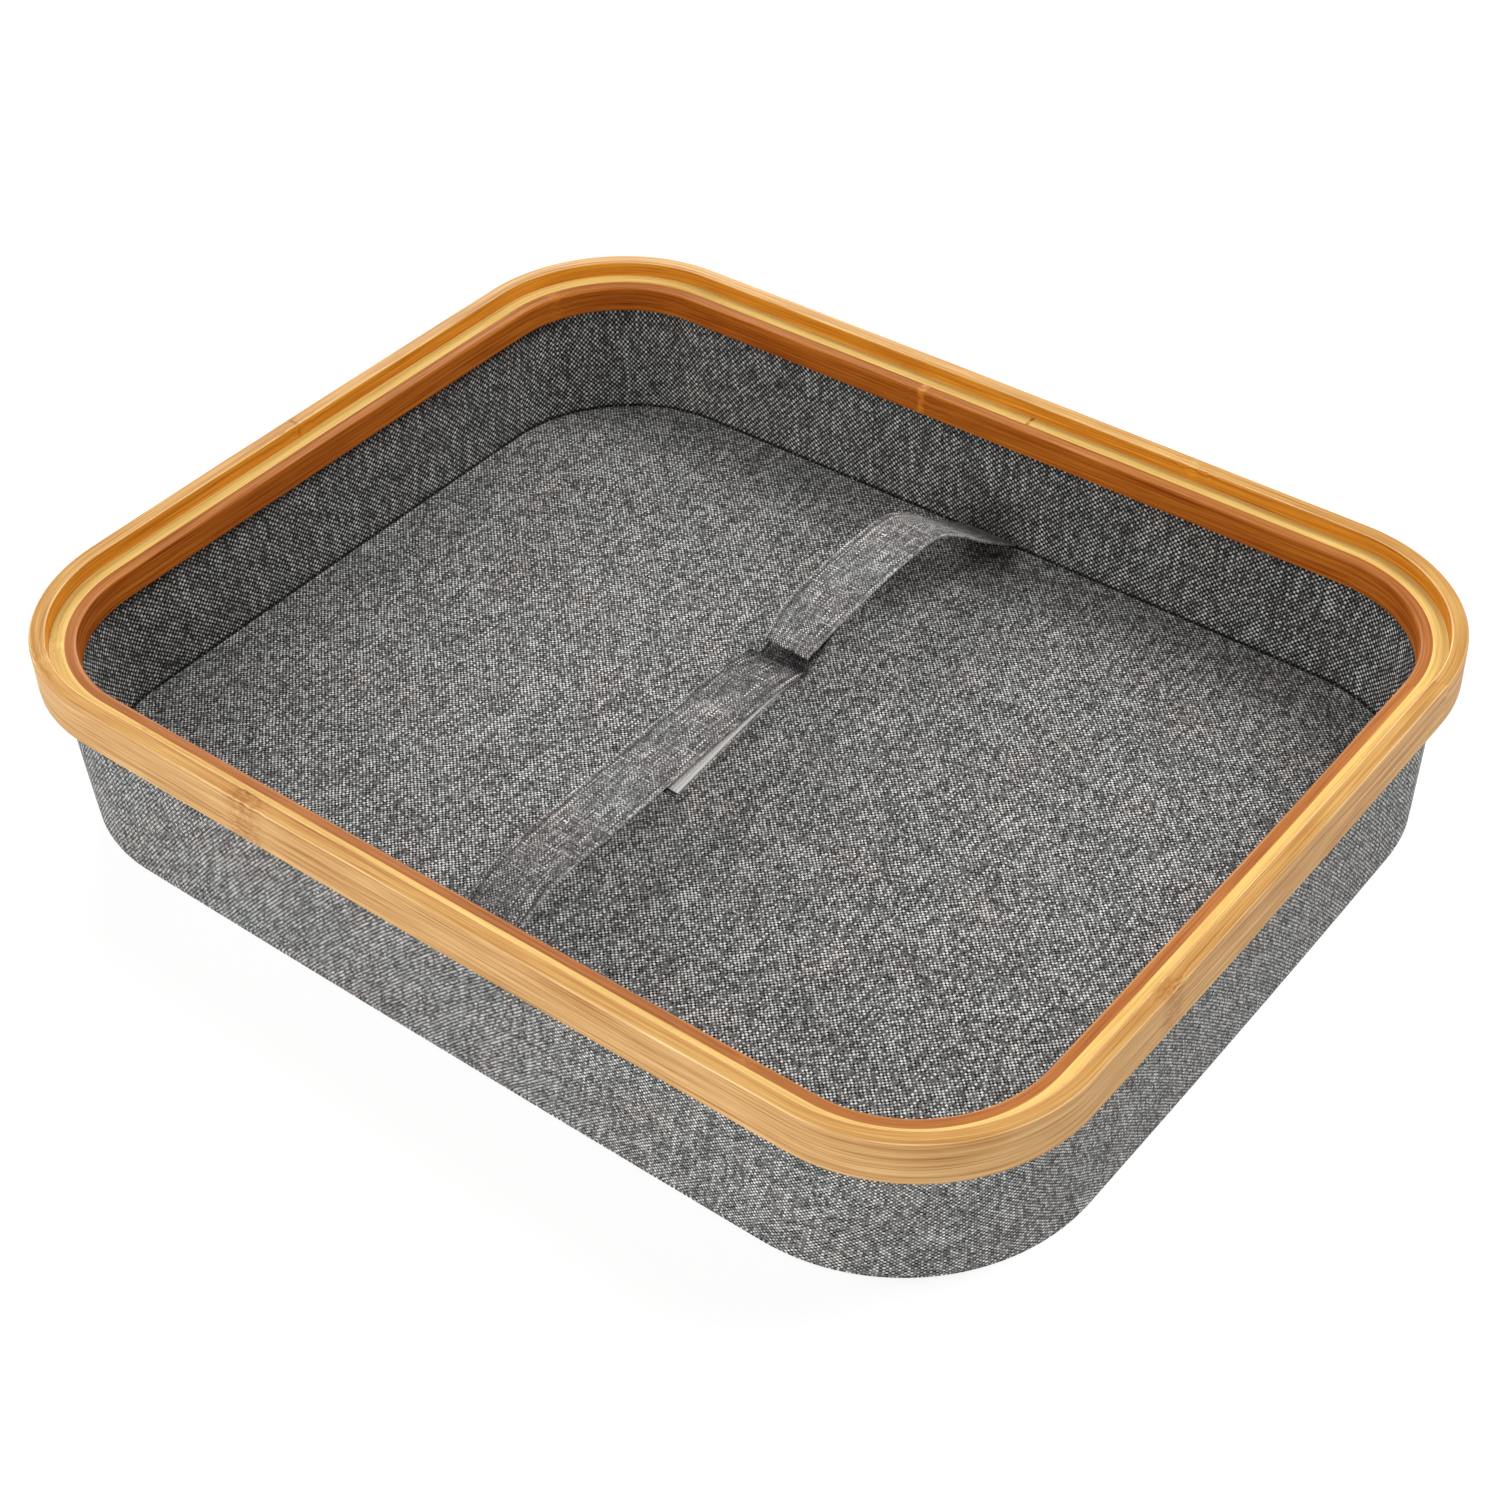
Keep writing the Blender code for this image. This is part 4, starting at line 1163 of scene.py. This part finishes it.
def repeated(name, marks, shape, look, wobble, seed):
    """A plain mesh of a shape repeated at marks, which are (place, along, up)."""
    mesh = bpy.data.meshes.new(name)
    mesh.from_pydata([tuple(mark[0]) for mark in marks], [], [])
    for number, attribute in ((1, "along"), (2, "up")):
        values = np.array([tuple(mark[number]) for mark in marks], np.float32)
        mesh.attributes.new(attribute, "FLOAT_VECTOR", "POINT").data.foreach_set("vector", values.ravel())
    made = bpy.data.objects.new(name, mesh)
    scene.collection.objects.link(made)
    modifier = made.modifiers.new("repeat", "NODES")
    modifier.node_group = repeating
    values = {"Shape": shape, "Look": look, "Wobble": wobble, "Seed": seed}
    for socket in repeating.interface.items_tree:
        if socket.in_out == "INPUT" and socket.name in values:
            modifier[socket.identifier] = values[socket.name]
    final = bpy.data.meshes.new_from_object(made.evaluated_get(bpy.context.evaluated_depsgraph_get()))
    made.modifiers.clear()
    made.data = final
    final.shade_smooth()
    print(name, len(marks), "times,", len(final.polygons), "faces")
    return made


def thread_shape(name, line, radius, sides=5):
    """A closed tube along a line of points in the XZ plane."""
    verts, faces = [], []
    for i, here in enumerate(line):
        run = (line[min(i + 1, len(line) - 1)] - line[max(i - 1, 0)]).normalized()
        for k in range(sides):
            angle = 2 * math.pi * k / sides
            side = Vector((-run.y, run.x)) * math.cos(angle) * radius
            verts.append((here.x + side.x, radius * math.sin(angle), here.y + side.y))
    for i in range(len(line) - 1):
        for k in range(sides):
            after = (k + 1) % sides
            faces.append((i * sides + k, i * sides + after, (i + 1) * sides + after, (i + 1) * sides + k))
    faces += [tuple(range(sides)), tuple(range((len(line) - 1) * sides, len(line) * sides))]
    mesh = bpy.data.meshes.new(name)
    mesh.from_pydata(verts, [], faces)
    outward(mesh)
    made = bpy.data.objects.new(name, mesh)
    scene.collection.objects.link(made)
    return made


print("tree has", len(repeating.nodes), "nodes")

# %% Stitches
thread, tree, shader = new_material("spun polyester sewing thread")
ply = add(tree, "ShaderNodeTexWave", {"Vector": add(tree, "ShaderNodeTexCoord").outputs["Object"],
                                      "Scale": 900.0}, bands_direction="DIAGONAL")
tone = add(tree, "ShaderNodeValToRGB", {0: ply}, stops=[(0.2, "#555351"), (0.8, "#807E7B")])
# Spun thread is matt, and its twist shows as slanting bands of tone
feed(tree, shader, {"Base Color": tone, "Roughness": 0.75})
STITCH, STITCH_PITCH, THREAD_RADIUS, SUNK = 0.0021, 0.0027, 0.00012, 0.00018
STITCH_TOP, STITCH_DIP = 0.00010, 0.00034
stitch_shape = thread_shape("stitch_shape", [
    Vector((STITCH / 2 * share, STITCH_TOP - STITCH_DIP * share ** 4))
    for share in (-1.0, -0.8, -0.45, 0.0, 0.45, 0.8, 1.0)], THREAD_RADIUS)


def hem_marks(path, width, centre, surface, cut, start, stop, crosswise=()):
    """Places of the stitches on both faces of a band: along both hems, and across it where asked."""
    marks, found = measured(path), []
    for sign in (1, -1):
        rows = []
        for a in (HEM - width / 2, width / 2 - HEM):
            count = int((marks[-1] - start - stop) / STITCH_PITCH)
            rows += [(a, start + STITCH_PITCH * (i + 0.5), False) for i in range(count)]
        for place in crosswise:
            count = int((width - 2 * HEM) / STITCH_PITCH)
            rows += [((i + 0.5 - count / 2) * STITCH_PITCH, place, True) for i in range(count)]
        for a, mark, across in rows:
            out = sign * (STRAP_THICKNESS / 2 - (0.0 if across else SUNK))
            out += surface(a, on_path(path, marks, mark)[0].x)
            spot, line, up = on_band(path, marks, a, mark, out, centre, cut)
            along = (1.0, 0.0, 0.0) if across else (0.0, line.x, line.y)
            found.append((spot, along, (0.0, sign * up.x, sign * up.y)))
    return found


# Stitches keep clear of a half's root and end, and one row runs across each band near its free end
ROOT_CLEAR, END_CLEAR, STITCH_WOBBLE = 0.004, 0.002, 0.04
FRONT_ROW, REAR_ROW, TONGUE_ROW = 0.0025, 0.0030, 0.0025
front_stitches = repeated("front_strap_stitches", hem_marks(
    front_path, STRAP_WIDTH, straight, creases, square_cut, ROOT_CLEAR, END_CLEAR, (front_length - FRONT_ROW,)),
    stitch_shape, thread, STITCH_WOBBLE, 3)
rear_stitches = repeated("rear_strap_stitches", hem_marks(
    rear_path, STRAP_WIDTH, straight, creases, lip_cut, ROOT_CLEAR, END_CLEAR, (rear_length - REAR_ROW,)),
    stitch_shape, thread, STITCH_WOBBLE, 5)
tongue_stitches = repeated("rear_tongue_stitches", hem_marks(
    tongue_path, TONGUE_WIDTH, tongue_lean, flat, square_cut, END_CLEAR, END_CLEAR, (TONGUE_ROW,)),
    stitch_shape, thread, STITCH_WOBBLE, 7)

# %% Hooks and loops
BRISTLE, PILE_PITCH, PILE_DRIFT = 0.00007, 0.0012, 0.0001
PILE_END, PILE_SIDE, HOOK_WOBBLE, LOOP_WOBBLE = 0.001, 0.0015, 0.12, 0.10
# Drawn nylon is smooth and half clear, so each bristle catches a small point of light, and the paler spots of its
# noise are painted glints
bristle, tree, shader = new_material("clear white nylon bristle")
glint = add(tree, "ShaderNodeTexNoise", {"Vector": add(tree, "ShaderNodeTexCoord").outputs["Object"],
                                         "Scale": 2500.0})
tone = add(tree, "ShaderNodeValToRGB", {0: glint}, stops=[(0.3, "#D2D0CC"), (0.7, "#F0EFEC")])
feed(tree, shader, {"Base Color": tone, "Roughness": 0.4})
hook_tall, loop_tall = HOOK_THICKNESS * (1 - WEB_SHARE), LOOP_THICKNESS * (1 - WEB_SHARE)
hook_shape = thread_shape("hook_shape", [Vector((x * hook_tall, z * (hook_tall - BRISTLE))) for x, z in (
    (0.0, -0.2), (0.0, 0.35), (0.08, 0.75), (0.35, 1.0), (0.65, 0.85), (0.72, 0.6))], BRISTLE)
loop_shape = thread_shape("loop_shape", [Vector((x * loop_tall, z * (loop_tall - BRISTLE))) for x, z in (
    (-0.8, -0.2), (-0.95, 0.35), (-0.6, 0.85), (0.0, 1.0), (0.6, 0.85), (0.95, 0.35), (0.8, -0.2))], BRISTLE)


def pile_marks(path, centre, out, sign, seed):
    """Places of the pile: staggered rows, each a little off its mark."""
    marks, found = measured(path), []
    drawn = random.Random(seed)
    rows, lanes = int((marks[-1] - 2 * PILE_END) / PILE_PITCH), int((TAPE_WIDTH - 2 * PILE_SIDE) / PILE_PITCH)
    for row in range(rows):
        for lane in range(lanes):
            a = (lane + 0.25 + 0.5 * (row % 2) - lanes / 2) * PILE_PITCH + drawn.uniform(-PILE_DRIFT, PILE_DRIFT)
            mark = PILE_END + (row + 0.5) * PILE_PITCH + drawn.uniform(-PILE_DRIFT, PILE_DRIFT)
            spot, line, up = on_band(path, marks, a, mark, out, centre, square_cut)
            found.append((spot, (0.0, line.x, line.y), (0.0, sign * up.x, sign * up.y)))
    return found


hook_pile = repeated("hook_bristles", pile_marks(hook_web, straight, -hook_tall / 2, -1, 17), hook_shape,
                     bristle, HOOK_WOBBLE, 11)
loop_pile = repeated("loop_threads", pile_marks(loop_web, tongue_lean, loop_tall / 2, 1, 19), loop_shape,
                     bristle, LOOP_WOBBLE, 13)
for shape in (stitch_shape, hook_shape, loop_shape):
    bpy.data.objects.remove(shape)

# %% [markdown]
# ## What the strap rides on
# The two halves swing about their stitched roots. The tongue, its stitches, the loop tape and its pile
# ride on the rear half's body, and the hook tape and its pile on the front half's.

# %% Riding
for front_piece, rear_piece in ((front_strap, rear_strap), (front_stitches, rear_stitches)):
    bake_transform(front_piece)
    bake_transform(rear_piece)
for piece, body in ((rear_tongue, "strap_rear"), (loop_strip, "strap_rear"), (hook_strip, "strap_front"),
                    (tongue_stitches, "strap_rear"), (loop_pile, "strap_rear"), (hook_pile, "strap_front")):
    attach(piece, body)
